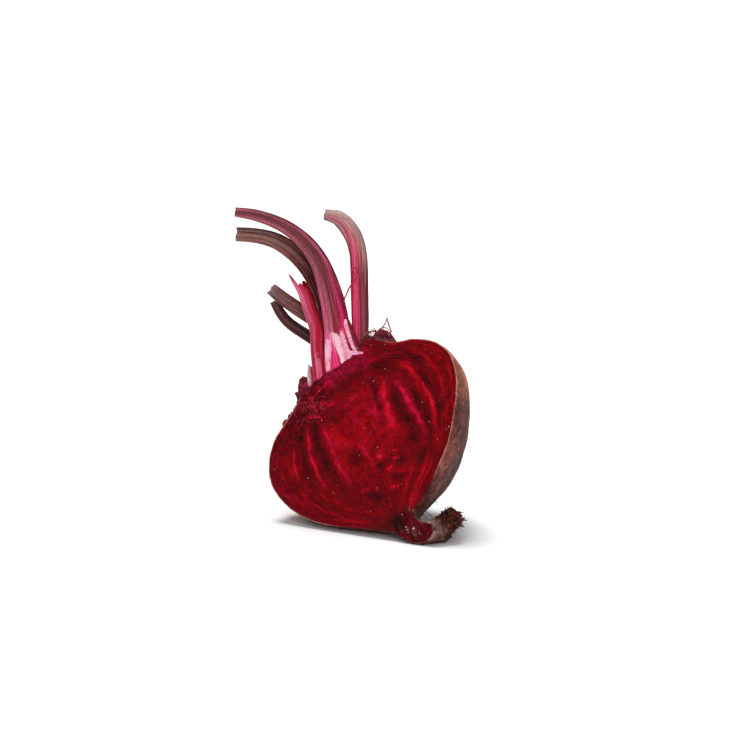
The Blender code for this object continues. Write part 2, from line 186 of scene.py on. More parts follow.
def add_node(tree, kind, *values, out=None, stops=(), **named):
    """Adds a node, or fills in the shader, and returns its output in use, or the one named out.

    Values go to its inputs in use, in order. Names in small letters are its settings, the others
    its inputs. A value is a number, a colour or another node's output. Stops are {place: sRGB hex}.
    """
    if kind in ("Principled BSDF", "Background"):
        made = tree.nodes[kind]
    else:
        homes = ("ShaderNode", "GeometryNode", "FunctionNode", "")
        made = tree.nodes.new(next(home + kind for home in homes if hasattr(bpy.types, home + kind)))
    for name in filter(str.islower, named):
        setattr(made, name, named[name])
    for number, place in enumerate(stops):
        if number > 1:
            made.color_ramp.elements.new(1.0)
        made.color_ramp.elements[number].position = place
        made.color_ramp.elements[number].color = linear(stops[place])
    given = list(zip([socket for socket in made.inputs if socket.enabled], values))
    given += [(made.inputs[name.replace("_", " ")], named[name]) for name in named if not name.islower()]
    for socket, value in given:
        if isinstance(value, bpy.types.NodeSocket):
            tree.links.new(value, socket)
        else:
            socket.default_value = value
    return made.outputs[out] if out else next((socket for socket in made.outputs if socket.enabled), None)


def begun(name, labels=()):
    """A new material, what adds a node to it, the place on the object and the attributes by label."""
    made = bpy.data.materials.new(name)
    made.use_nodes = True
    node = partial(add_node, made.node_tree)
    read = {label: node("Attribute", attribute_name=label, out="Fac") for label in labels}
    return made, node, node("TexCoord", out="Object"), read


def settled(points):
    """The round side pressed flat where it lies on the surface, well behind the cut face."""
    world = points @ ATTITUDE.T + FACE_MIDDLE
    height = world[..., 2].copy()
    weight = ramp(*FLAT_SETBACK, points[..., 1])
    free = ramp(FLAT_RISE, FLAT_BLEND, height)
    pressed = height * free - FLAT_PRESS * (1 - free)
    height = np.where(height > FLAT_BLEND, height, height + (pressed - height) * weight)
    world[..., 2] = np.maximum(height, 0.0)
    return (world - FACE_MIDDLE) @ ATTITUDE


def root_column(angle):
    """Points down the root from its crown, at one angle round its axis from the right edge."""
    share = math.cos(angle) ** 2
    side = RIGHT_SIDE if math.cos(angle) > 0 else LEFT_SIDE
    radius, height = spline(share * side + (1 - share) * BACK_SIDE, ROOT_PLACES).T
    behind = max(math.sin(angle), 0.0)
    lobe = LOBE_HEIGHT * math.sin(2 * angle + LOBE_PHASE) * behind
    radius = radius + lobe * np.minimum(radius / LOBE_FULL_RADIUS, 1.0)
    fold = FOLD_DEPTH * math.cos(FOLD_COUNT * angle) * ramp(FOLD_FROM, FOLD_TO, height)
    radius = np.maximum(radius * (1 - fold * behind), 0.0)
    return np.stack([radius * math.cos(angle), radius * math.sin(angle), height], -1)


def tail_rows():
    """Rings of the taproot's stub. Each starts and ends where the knife's plane meets it."""
    path = spline(TAIL_PATH, TAIL_PLACES)
    rows = []
    for (x, y, z, radius), ahead in zip(path, unit(np.gradient(path[:, :3], axis=0))):
        thick = unit((0.0, 1.0, 0.0) - ahead * ahead[1])
        wide = np.cross(ahead, thick)
        first = -math.asin(min(y / (radius * thick[1]), 1.0))
        turn = np.linspace(first, math.pi - first, COLUMNS)[:, None]
        rows.append(np.array([x, y, z]) + radius * (np.cos(turn) * wide + np.sin(turn) * thick))
    return np.array(rows)


def at_crown(x, y, z, heights, radii):
    """1 on the crown and 0 away from it, by the heights and radii between which it sets in."""
    return ramp(*heights, z) * ramp(*radii, np.hypot(x, y))


def skin_relief(points, height, torn):
    """Relief of the skin in mm: slow dents, rough cork, a hump at the crown, a creased torn tail."""
    x, y, z = np.moveaxis(points, -1, 0)
    dents = DENTS * lumps(points, 12.0, 2, 3.1) + WRINKLES * lumps(points * (1.0, 1.0, 2.4), 3.4, 2, 8.4)
    rough = CROWN_BARK * at_crown(x, y, z, *CROWN_ROUGH) * lumps(points, 2.2, 3, 5.0)
    apart = (x - HUMP_AT[0]) ** 2 + (y - HUMP_AT[1]) ** 2
    hump = HUMP_HEIGHT * np.exp(-(apart / HUMP_RADIUS ** 2) ** HUMP_BLUNT) * ramp(*HUMP_FROM, z)
    hump *= 1 + HUMP_BARK * lumps(points, 2.4, 3, 7.0)
    creased = ramp(*CREASED_FROM, z)
    creases = CREASES * creased * lumps(points * (0.5, 0.5, 1.6), 1.7, 3, 2.0)
    ragged = TORN_DEPTH * torn * (lumps(points, 1.3, 3, 6.0) + SHREDS * lumps(points, 3.0, 2, 1.0))
    return (dents * (1 - creased) + rough + creases) * ramp(0.0, 5.0, height) + hump + ragged


body = np.stack([root_column(a) for a in np.linspace(0, math.pi, COLUMNS)], 1)
tail = tail_rows()
neck_share = np.linspace(0, 1, NECK_ROWS + 2)[1:-1, None, None]
outer = np.concatenate([body, body[-1] * (1 - neck_share) + tail[0] * neck_share, tail])
neck = slice(ROOT_ROWS - NECK_REACH, ROOT_ROWS + NECK_ROWS + NECK_REACH)
for _ in range(NECK_PASSES):
    around = (outer[neck.start - 1:neck.stop - 1] + outer[neck.start + 1:neck.stop + 1]) / 2
    outer[neck] = (outer[neck] + around) / 2
# The flesh shows down to the row where the tail is whole, and the skin is closed from there on
OPEN_ROWS = ROOT_ROWS + NECK_ROWS + int(np.argmax(tail[:, 0, 1] > 1e-3))
ROWS = len(outer)
POINTS = ROWS * COLUMNS

outer = settled(outer)
out = unit(np.cross(np.gradient(outer, axis=1), np.gradient(outer, axis=0)))
if np.sum(out * (outer - outer.mean(1, keepdims=True)), axis=2).mean() < 0:
    out = -out
out[0] = (0.0, 0.0, 1.0)
out[:OPEN_ROWS, [0, -1], 1] = 0.0
out[OPEN_ROWS:, 0] += out[OPEN_ROWS:, -1]
out[OPEN_ROWS:, -1] = out[OPEN_ROWS:, 0]
out = unit(out)
tail_place = np.zeros((ROWS, COLUMNS))
tail_place[-len(TAIL_PLACES):] = TAIL_PLACES[:, None]
torn = ramp(TORN_FROM - TORN_BLEND, TORN_FROM + TORN_BLEND, tail_place)
relief = skin_relief(outer, laid(outer)[..., 2] / MM, torn)
relief[OPEN_ROWS:, -1] = relief[OPEN_ROWS:, 0]
outer = outer + out * relief[..., None]
outer = outer + np.maximum(-laid(outer)[..., 2] / MM, 0.0)[..., None] * ATTITUDE[2]
inner = outer - out * SKIN_THICKNESS

faces = quads(ROWS, COLUMNS) + quads(ROWS, COLUMNS, POINTS, flip=True)
for column, turned in ((0, False), (COLUMNS - 1, True)):
    for a in range(column, column + OPEN_ROWS * COLUMNS, COLUMNS):
        rim = [a, a + COLUMNS, a + COLUMNS + POINTS, a + POINTS]
        faces.append(rim[::-1] if turned else rim)
ends = [outer[-1].mean(0), inner[-1].mean(0)]
points = np.concatenate([outer.reshape(-1, 3), inner.reshape(-1, 3), ends])
for hub, after, turned in ((2 * POINTS, POINTS, True), (2 * POINTS + 1, 2 * POINTS, False)):
    faces += [[k + turned, k + (not turned), hub] for k in range(after - COLUMNS, after - 1)]

x, y, z = np.moveaxis(outer, -1, 0)
facing_down = -(out @ ATTITUDE.T)[..., 2]
bent_tail = ramp(*TAIL_BEND, z)
crown_share = at_crown(x, y, z, *CROWN_RED)
rim_share = np.zeros((ROWS, COLUMNS))
rim_share[:OPEN_ROWS, [0, -1]] = 1 - crown_share[:OPEN_ROWS, [0, -1]]
values = {
    "crown": crown_share, "tail": bent_tail, "rise": z, "depth": y, "rim": rim_share,
    # Besides the real torn end, the taproot's underside takes the torn end's dark colours as painted shade
    "torn": np.maximum(torn, UNDERSIDE_PAINTED_SHADE * ramp(0.1, 0.7, facing_down) * bent_tail),
}
# Cork, grown and dried: matt and mealy, mottled from tan to dark mauve where lumps of 20 mm and
# 2 mm overlap, with tan flecks and dark pores, bruised red in places. Raw and red at the crown,
# peeled and greyish on the taproot, dirty where that was torn, pale along the knife's edge. Shade is
# painted in as well: darker with depth behind the cut face, and the torn end's dark colours on the
# taproot's underside. The tone also darkens towards the bottom and lightens towards the crown.
cork, node, where, read = begun("dry_cork_skin", values)
blotch = node("TexNoise", where, Scale=52.0, Detail=5.0, Roughness=0.62)
mealy = node("TexNoise", where, Scale=520.0, Detail=4.0, Roughness=0.72)
bruise = node("TexNoise", where, Scale=95.0, Detail=4.0, Roughness=0.7)
fleck = node("TexNoise", where, Scale=760.0, Detail=2.0, Roughness=0.5)
mixed = node("Math", mealy, 0.62, blotch, operation="MULTIPLY_ADD")
# Painted shade: the skin is darker the deeper it lies behind the cut face. The tone also darkens towards
# the bottom and lightens towards the crown.
lowered = node("MapRange", read["rise"], From_Min=-30.0, From_Max=14.0, To_Min=-0.2, To_Max=0.2)
painted_shade_and_height_tone = node("MapRange", read["depth"], From_Min=6.0, From_Max=30.0, To_Max=-0.2)
painted_shade_and_height_tone = node("Math", painted_shade_and_height_tone, lowered, operation="ADD")
toned = node("Math", mixed, painted_shade_and_height_tone, operation="ADD")
base = node("ValToRGB", toned, stops={
    0.52: "260A06", 0.66: "4C1A12", 0.78: "72382C", 0.90: "9E5C48", 1.0: "C08068",
})
bruised = node("MapRange", bruise, From_Min=0.57, From_Max=0.69, To_Max=0.75,
               interpolation_type="SMOOTHSTEP")
flecked = node("MapRange", fleck, From_Min=0.66, From_Max=0.72, To_Max=0.8)
pored = node("MapRange", fleck, From_Min=0.34, From_Max=0.29, To_Max=0.7)
thin = node("MapRange", read["rise"], From_Min=-36.0, From_Max=-24.0)
shown = node("Math", read["rim"], thin, operation="MULTIPLY")
broken = node("Math", shown, mixed, operation="MULTIPLY")
edge = node("MapRange", broken, From_Min=0.5, From_Max=0.9, To_Max=0.7)
for share, tone in (
    (bruised, "5A1218"), (flecked, "B07C4C"), (pored, "26100E"),
    (read["crown"], {0.34: "22060A", 0.48: "4C0812", 0.60: "74101E", 0.72: "8E3A30"}),
    (read["tail"], {0.36: "3C1E1A", 0.46: "6C4C44", 0.60: "8E7068", 0.74: "AC9080"}),
    (read["torn"], {0.38: "140604", 0.48: "34100C", 0.62: "602A20", 0.72: "A8643A"}), (edge, "C08878"),
):
    tone = linear(tone) if isinstance(tone, str) else node("ValToRGB", mealy, stops=tone)
    base = node("Mix", share, base, tone, data_type="RGBA")
height = node("Math", blotch, 0.8, mealy, operation="MULTIPLY_ADD")
bump = node("Bump", Strength=0.8, Distance=0.0005, Height=height)
node("Principled BSDF", Base_Color=base, Roughness=0.6, Specular_IOR_Level=0.12, Normal=bump)
# The same values serve the outer points, the inner points and the two end points
values = {label: np.append(np.tile(v.ravel(), 2), [v[-1, -1]] * 2) for label, v in values.items()}
piece("beetroot_skin", points, faces, values, cork, "root")

# Root: the cut flesh
# Firm wet flesh, sliced from crown to tail with a knife. Its growth rings show as long streaks that
# run together at both ends: bright where the sap runs, nearly black between. It fills the skin.
FRONT_COLUMNS, BACK_COLUMNS = 236, 24
CROWN_BOW, BOW_ENDS, BOW_POWER = 8.0, 9.5, 1.6
# Each streak of the cut face: places (x, z) along it in mm, half its width in mm, how much brighter
# it is than the flesh round it, and how pink.
STREAKS = [
    ([(34.3, 22.7), (38.1, 17.9), (40.7, 11.9), (41.5, 6.4), (40.2, -0.3), (34, -13)], 0.5, 0.16, 0),
    ([(30.6, 22.3), (33.6, 18), (35.9, 12.8), (37.1, 6.5), (36.7, 0.4), (34.9, -6),
      (30, -15)], 0.6, 0.22, 0),
    ([(24.5, 19.5), (26.8, 15.7), (28.6, 10.8), (30.2, 5.5), (30.6, -1), (29.9, -8.1),
      (26.1, -17)], 0.9, 0.34, 0.1),
    ([(20, 15.8), (21.1, 11.4), (22.2, 6.3), (22.6, 1.1), (23.4, -3.1), (23.7, -7.6),
      (23.5, -11.8)], 1.2, 0.38, 0.6),
    ([(15.7, 17.1), (15, 12.4), (14, 6.1), (13.4, 0.8), (14.5, -5)], 1.4, 0.28, 0.1),
    ([(9.2, 18.9), (9.8, 12.3), (8.7, 6.6), (6.9, 3.8)], 1.2, 0.16, 0.3),
    ([(-2.9, -0.9), (-1.2, -4.7), (-0.4, -8.9), (0, -15.9)], 0.8, 0.22, 0.3),
    ([(-14, 13.9), (-13, 8.2), (-12.7, 2.4), (-12.9, -3.7), (-12.2, -9.1),
      (-10.7, -15.8)], 0.8, 0.36, 0.55),
    ([(-10.6, 12), (-10, 3), (-10, -4), (-8, -12)], 2.8, 0.17, 0),
    ([(-19.3, 16.3), (-20.5, 10.6), (-21.9, 4), (-22, -3.7), (-21.2, -10.3)], 0.65, 0.38, 0.4),
    ([(-26.5, 14), (-28.4, 8.8), (-29.8, 3.8), (-29.8, -0.5), (-29.6, -4.1)], 0.6, 0.28, 0.1),
    ([(-35.7, -1), (-33.2, -8.7), (-30.3, -14.6), (-25.9, -20.1)], 0.5, 0.16, 0.2),
    ([(-31.7, -5.1), (-27.5, -14.3), (-21.4, -21.9), (-15, -28.5), (-6, -33.5)], 0.6, 0.17, 0.1),
    ([(-24.8, -10.8), (-19.6, -17.4), (-13.4, -24.5), (-4, -31)], 0.6, 0.15, 0),
    ([(-11.1, -19), (-7.3, -19.2), (-3.4, -20.8), (-0.7, -23.5)], 0.5, 0.27, 0.1),
    ([(20.3, -18.7), (19.8, -22.1), (15.7, -25.8), (10.6, -30.3), (7.2, -34.5),
      (5.4, -40)], 0.5, 0.26, 0.2),
    ([(24, -19.5), (20.9, -23.9), (16.3, -27.4), (11.4, -31.4), (8.4, -34.6)], 0.45, 0.22, 0.1),
    ([(17, -17.5), (14, -21.5), (10.5, -25), (7, -28.5), (5, -32.5)], 0.5, 0.2, 0.1),
    ([(8.9, 22.9), (11.6, 24.6), (14.6, 25.4), (18.3, 25), (22.4, 23.7), (26.1, 21.8),
      (29.3, 18.6)], 0.45, 0.26, 0.2),
    ([(-6.6, 14.1), (-1.1, 14.7), (3.3, 15.7), (6.4, 16.8)], 0.9, 0.14, 0.3),
    ([(-19.4, 18.7), (-15.9, 17.5), (-12.8, 16), (-13.1, 12.8)], 0.4, 0.34, 0.6),
    ([(-11.3, 19.7), (-9.4, 20.3), (-6.9, 18.1), (-4.6, 18.2)], 0.4, 0.3, 0.5),
    ([(-11, 17.9), (-11.2, 19.9), (-9.3, 22), (-6.6, 23), (-2.7, 25.9)], 0.4, 0.26, 0.5),
    ([(-12.1, 26.8), (-9.6, 26.3), (-6.9, 26.4), (-4, 26.9)], 0.4, 0.24, 0.4),
    ([(-17.8, 24.3), (-14.4, 24.3), (-10.6, 25.4), (-8.7, 26.8)], 0.4, 0.24, 0.5),
    ([(-20, 23.7), (-16.1, 23.4), (-13.5, 20), (-11.9, 15.8)], 0.4, 0.24, 0.4),
    ([(-12.8, 29.2), (-14.2, 26.1), (-13.1, 24.2), (-13.4, 21.8), (-13.4, 19.3)], 0.4, 0.34, 0.8),
    ([(2.3, -10.4), (4.9, -10.3)], 0.65, 0.32, 0.4), ([(4.6, -16.3), (7.6, -16.8)], 0.6, 0.32, 0.4),
    ([(7.2, -19.3), (11.5, -20.5)], 0.7, 0.36, 0.2), ([(2.5, -23.7), (7.3, -24.5)], 0.6, 0.28, 0.3),
    ([(7.8, -14.1), (10.9, -14.3)], 0.6, 0.34, 0.4), ([(8.5, -10.8), (11.9, -12.1)], 0.6, 0.22, 0.2),
    ([(16.1, -12.6), (19, -11.8)], 0.6, 0.2, 0.1),
    ([(24.9, 11.1), (25.5, 5), (26, -2.1), (26.3, -9.1), (24.4, -14.2)], 1.4, -0.13, 0),
    ([(18.2, 13.7), (18.4, 7.3), (18.9, 0.1), (20.1, -6.2), (19.3, -11.3)], 1.9, -0.17, 0),
    ([(12.3, 18.4), (11.4, 13.2), (10.6, 7.4), (10.8, 2.3)], 1.3, -0.15, 0),
    ([(30.3, 14.8), (31.7, 9), (32.4, 2.3), (32.4, -4.5), (30.4, -12.1)], 1.2, -0.11, 0),
    ([(20.4, 25.2), (25.3, 21.3), (30, 18.6), (32.7, 12.8)], 1.5, -0.1, 0),
    ([(11.7, 26.4), (15.3, 22.4), (19.1, 18.9), (22.8, 15.5)], 1.8, -0.12, 0),
    ([(-16.4, 14.6), (-17.4, 8.8), (-17.3, 2.5), (-16.9, -4.6), (-15.3, -11.7)], 1.8, -0.12, 0),
    ([(-21.9, 16.5), (-24.1, 9.5), (-25.3, 3.2), (-25.4, -3.6)], 1.6, -0.09, 0),
    ([(-7.7, -2.9), (-5.7, -5.9), (-3.4, -8.4)], 2.4, -0.15, 0),
    ([(2.1, -12.4), (2.6, -14.9)], 1.5, -0.16, 0), ([(8.7, -15.8), (12.3, -15.7)], 1.4, -0.14, 0),
    ([(5.3, -20.1), (9.9, -21.4)], 1.4, -0.12, 0), ([(-5.4, 14.7), (-2.1, 12.2)], 1.6, -0.12, 0),
    ([(-6.8, -21.3), (-3.3, -23.6), (-1.7, -26)], 1.9, -0.14, 0),
    ([(-0.2, 23.2), (5.1, 23.2), (10.2, 22.8)], 1.8, -0.08, 0),
    ([(-8.4, 22.8), (-3.4, 21.8)], 1.6, -0.08, 0), ([(17.2, -10.1), (19.6, -12.1)], 1.3, -0.14, 0),
    ([(21.6, -16.3), (20, -18.5), (17.7, -20.9)], 1.2, -0.12, 0),
    ([(-0.3, -33.4), (0.7, -37), (2.6, -41.7)], 2.4, -0.16, 0),
]
STREAK_WANDER, STREAK_BREAK, STREAK_TAPER, STREAK_LEAST = 0.5, 0.5, 0.3, 0.3
BRIGHT_GAIN, DARK_BAND_GAIN, PINK_GAIN = 0.85, 1.45, 0.75
# A bright streak has a sharp core in a soft halo, a dark band is soft all through: share and reach
STREAK_GLOW, BAND_SHADE = [(0.62, 0.7), (0.38, 2.0)], [(1.0, 1.15)]
CLOUD_AT, CLOUD_RADIUS = (5.0, 4.0), 15.0
FLESH_GLOW, RELIEF_EDGE = 0.36, (1.0, 0.96)
# Beads of juice on the wet tail: place (x, z) and radius in mm
JUICE_BEADS = [(5.5, -43.8, 1.2), (6.8, -34.6, 0.5), (3, -40.8, 0.45), (3.3, -42.1, 0.5), (7.4, -45.2, 0.5)]
BEAD_HEIGHT = 0.45


def cut_face():
    """Points of the cut face, rows by shares of its width from the left edge to the right."""
    rows = OPEN_ROWS + 1
    left, right = inner[:rows, -1], inner[:rows, 0]
    axis = (left + right) / 2
    from_top = np.minimum(15.0 - ROOT_PLACES, BOW_ENDS)
    axis[:ROOT_ROWS, 0] = 0.0
    axis[:ROOT_ROWS, 2] -= CROWN_BOW * np.sin(math.pi * (from_top / BOW_ENDS) ** 0.75)
    share = np.linspace(-1, 1, FRONT_COLUMNS)
    side = np.where(share[None, :, None] < 0, left[:, None], right[:, None])
    reach = np.abs(share)[None, :, None]
    face = axis[:, None] + (side - axis[:, None]) * reach
    face[..., 2] = axis[:, None, 2] + (side[..., 2] - axis[:, None, 2]) * reach[..., 0] ** BOW_POWER
    return face, np.broadcast_to(share, face.shape[:2])


def streaked(points):
    """How much brighter and how much pinker the streaks make each point of the face."""
    wander = np.stack([lumps(points, 3.2, 3, seed) for seed in (4.4, 8.1)], -1)
    flat = points[..., [0, 2]] + STREAK_WANDER * wander
    broken = np.clip(1 + STREAK_BREAK * (lumps(points, 2.6, 3, 9.1) + lumps(points, 7.0, 2, 3.3)), 0.3, 1.4)
    glow, pink = np.zeros((2, *points.shape[:2]))
    for path, width, strength, pinkness in STREAKS:
        along = evenly(path, 8 * len(path))
        apart, place = np.full(points.shape[:2], 1e9), np.zeros(points.shape[:2])
        for number, (start, end) in enumerate(zip(along[:-1], along[1:])):
            run = end - start
            t = np.clip(((flat - start) @ run) / (run @ run), 0, 1)
            near = np.linalg.norm(flat - start - t[..., None] * run, axis=-1)
            place = np.where(near < apart, (number + t) / (len(along) - 1), place)
            apart = np.minimum(apart, near)
        ends = ramp(0.0, STREAK_TAPER, place) * ramp(1.0, 1 - STREAK_TAPER, place)
        parts = STREAK_GLOW if strength > 0 else BAND_SHADE
        spread = sum(share * np.exp(-(apart / width / reach) ** 2) for share, reach in parts)
        shows = spread * (STREAK_LEAST + (1 - STREAK_LEAST) * ends)
        glow += strength * shows * (BRIGHT_GAIN * broken if strength > 0 else DARK_BAND_GAIN)
        pink = np.maximum(pink, PINK_GAIN * pinkness * shows * np.minimum(broken, 1.0))
    return glow, pink


face, ring_share = cut_face()
x, y, z = np.moveaxis(face, -1, 0)
glow, pink = streaked(face)
# Regions of the face, by the heights and places in mm between which each sets in: a clouded
# heart, a calm lower left, the pink under the stalks, torn fibres left of them, and the brown tail
cloud = np.exp(-((x - CLOUD_AT[0]) ** 2 + (z - CLOUD_AT[1]) ** 2) / CLOUD_RADIUS ** 2)
calm = ramp(-8.0, -18.0, z) * ramp(-2.0, -14.0, x)
at_stalks = ramp(22.0, 27.0, z) * ramp(17.0, 12.0, x) * ramp(-9.0, -3.0, x)
tangled = ramp(8.0, 14.0, z) * ramp(-4.0, -9.0, x)
tail_end = ramp(-31.0, -38.0, z)
fibres = sum(
    np.exp(-(lumps(face, size, 2, seed) / thin) ** 2)
    for size, seed, thin in ((3.4, 5.5, 0.05), (2.1, 2.5, 0.06))
)
# What each region adds to the glow and the pink, with lumps of 1 to 5 mm
glow += FLESH_GLOW - 0.01 * calm + 0.15 * cloud * (1 + lumps(face, 3.6, 3, 1.2))
glow += 0.07 * (1 - calm) * lumps(face, 5.0, 3, 6.6) + 0.05 * lumps(face, 1.5, 3, 2.8)
glow += tangled * (0.15 * fibres - 0.11 + 0.12 * lumps(face, 1.9, 3, 7.4))
glow += at_stalks * (0.08 + 0.14 * lumps(face, 1.8, 2, 3.9)) - 0.12 * tail_end
pink += 0.35 * cloud * ramp(0.0, 0.5, lumps(face, 3.6, 3, 8.8)) + 0.5 * at_stalks + 0.12 * tangled * fibres
pink += 0.2 * ramp(0.86, 0.97, -ring_share)
lined = np.clip(0.35 + 0.65 * ramp(0.5, 0.8, np.abs(ring_share)) + 0.5 * ramp(-14.0, -26.0, z), 0, 1)
lined *= (1 - 0.7 * tangled) * (1 - 0.6 * at_stalks)
beaded = sum(
    np.exp(-(((x - bead_x) ** 2 + 0.5 * (z - bead_z) ** 2) / radius ** 2) ** 2)
    for bead_x, bead_z, radius in JUICE_BEADS
)
# Relief of the cut in mm, none at its edge, where the skin holds it
face = face.copy()
inset = ramp(*RELIEF_EDGE, np.abs(ring_share))
face[..., 1] += inset * (0.12 * lumps(face, 9.0, 2, 7.7) - 0.12 * (glow - 0.4)
                         + 0.05 * lumps(face, 1.2, 2, 1.9))
face[..., 1] += inset * (0.9 * tail_end * lumps(face * (1.0, 1.0, 0.3), 1.9, 2, 4.2)
                         - 0.35 * at_stalks * lumps(face, 1.8, 2, 3.9))
face[..., 1] -= inset * BEAD_HEIGHT * beaded

every = np.linspace(0, COLUMNS - 1, BACK_COLUMNS + 2).astype(int)[1:-1]
rings = np.concatenate([face, inner[:len(face), every]], 1)
rows, count = rings.shape[:2]
last = (rows - 1) * count
faces = quads(rows, count, closed=True)
faces += [[last + (k + 1) % count, last + k, rows * count] for k in range(count)]
points = np.concatenate([rings.reshape(-1, 3), [rings[-1].mean(0)]])
# The hidden points behind the front ones carry 0
values = {
    "share": ring_share, "rise": z, "glow": glow, "pink": np.clip(pink, 0, 1), "lined": lined,
    "tail": tail_end, "bead": beaded,
}
values = {label: np.append(np.pad(v, ((0, 0), (0, BACK_COLUMNS))), 0.0) for label, v in values.items()}


def drawn_out(node, across, fine, along, coarse, detail, roughness):
    """Noise drawn out into lines, by how fine it is across them and how coarse along them."""
    across = node("Math", across, fine, operation="MULTIPLY")
    along = node("Math", along, coarse, operation="MULTIPLY")
    where = node("CombineXYZ", across, along)
    return node("TexNoise", where, Scale=1.0, Detail=detail, Roughness=roughness)


# Raw beet flesh, knife-cut and wet with juice: deep crimson with hardly any white in it, so the
# light sinks in and only beads of juice glint; tiny pale specks are painted highlights of light off
# the wet cells. Fine lines 0.5 mm apart follow the rings, and the cells make a grain of 0.3 mm.
sap, node, where, read = begun("wet_beet_flesh", values)
grain = node("TexNoise", where, Scale=1500.0, Detail=3.0, Roughness=0.65)
bead = node("TexNoise", where, Scale=1150.0, Detail=1.0, Roughness=0.4)
lines = drawn_out(node, read["share"], 42.0, read["rise"], 0.09, 3.0, 0.6)
strand = drawn_out(node, read["share"], 130.0, read["rise"], 0.7, 2.0, 0.5)
centred = node("Math", lines, 0.5, operation="SUBTRACT")
drawn = node("Math", centred, read["lined"], operation="MULTIPLY")
lined_glow = node("Math", drawn, 0.72, read["glow"], operation="MULTIPLY_ADD")
cells = node("Math", strand, 0.9, grain, operation="MULTIPLY_ADD")
speck = node("Math", cells, 0.95, operation="SUBTRACT")
toned = node("Math", speck, 0.36, lined_glow, operation="MULTIPLY_ADD")
base = node("ValToRGB", toned, stops={
    0.04: "1E0306", 0.20: "44060C", 0.38: "6A030B", 0.54: "96040F", 0.74: "C6081C", 1.0: "E41C3C",
})
for share, stops in (
    (read["pink"], {0.1: "380512", 0.35: "740624", 0.6: "AE0A42", 0.8: "D42062", 1.0: "F070A0"}),
    (read["tail"], {0.0: "220404", 0.22: "50060C", 0.45: "780C1A", 0.75: "B02844"}),
):
    tone = node("ValToRGB", toned, stops=stops)
    base = node("Mix", share, base, tone, data_type="RGBA")
# Painted highlights: tiny pale specks where the fine noise peaks, standing for light glinting off wet cells
painted_glint_specks = node("MapRange", bead, From_Min=0.79, From_Max=0.81)
base = node("Mix", painted_glint_specks, base, linear("E8A0B0"), data_type="RGBA")
wet = node("MapRange", bead, From_Min=0.45, From_Max=0.6, To_Min=0.42, To_Max=0.16)
pool = node("MapRange", bead, From_Min=0.65, From_Max=0.72)
juicy = node("Math", pool, read["tail"], operation="MULTIPLY")
coated = node("Math", juicy, read["bead"], operation="MAXIMUM")
height = node("Math", lines, 0.6, grain, operation="MULTIPLY_ADD")
bump = node("Bump", Strength=0.7, Distance=0.0003, Height=height)
node("Principled BSDF", Base_Color=base, Roughness=wet, Specular_IOR_Level=0.06,
     Coat_Weight=coated, Coat_Roughness=0.07, Normal=bump)
piece("beetroot_flesh", points, faces, values, sap, "root")

# Leaf stalks
# A beet leaf's stalk is a fleshy ribbed strap, domed on its back with a channel down its inner
# side. These were cut off above the crown and have begun to dry: magenta and juicy low down, dull
# mauve higher up, grey at the cut ends. The halving cut also sliced three of them at the base,
# where their pale inside shows. Each one grows out of the crown.
BROAD_SIDE, CHANNEL_SIDE, LEVEL_SIDE = (0.3, -0.85, -0.43), (-0.3, 0.85, 0.43), (0.0, -1.0, 0.0)
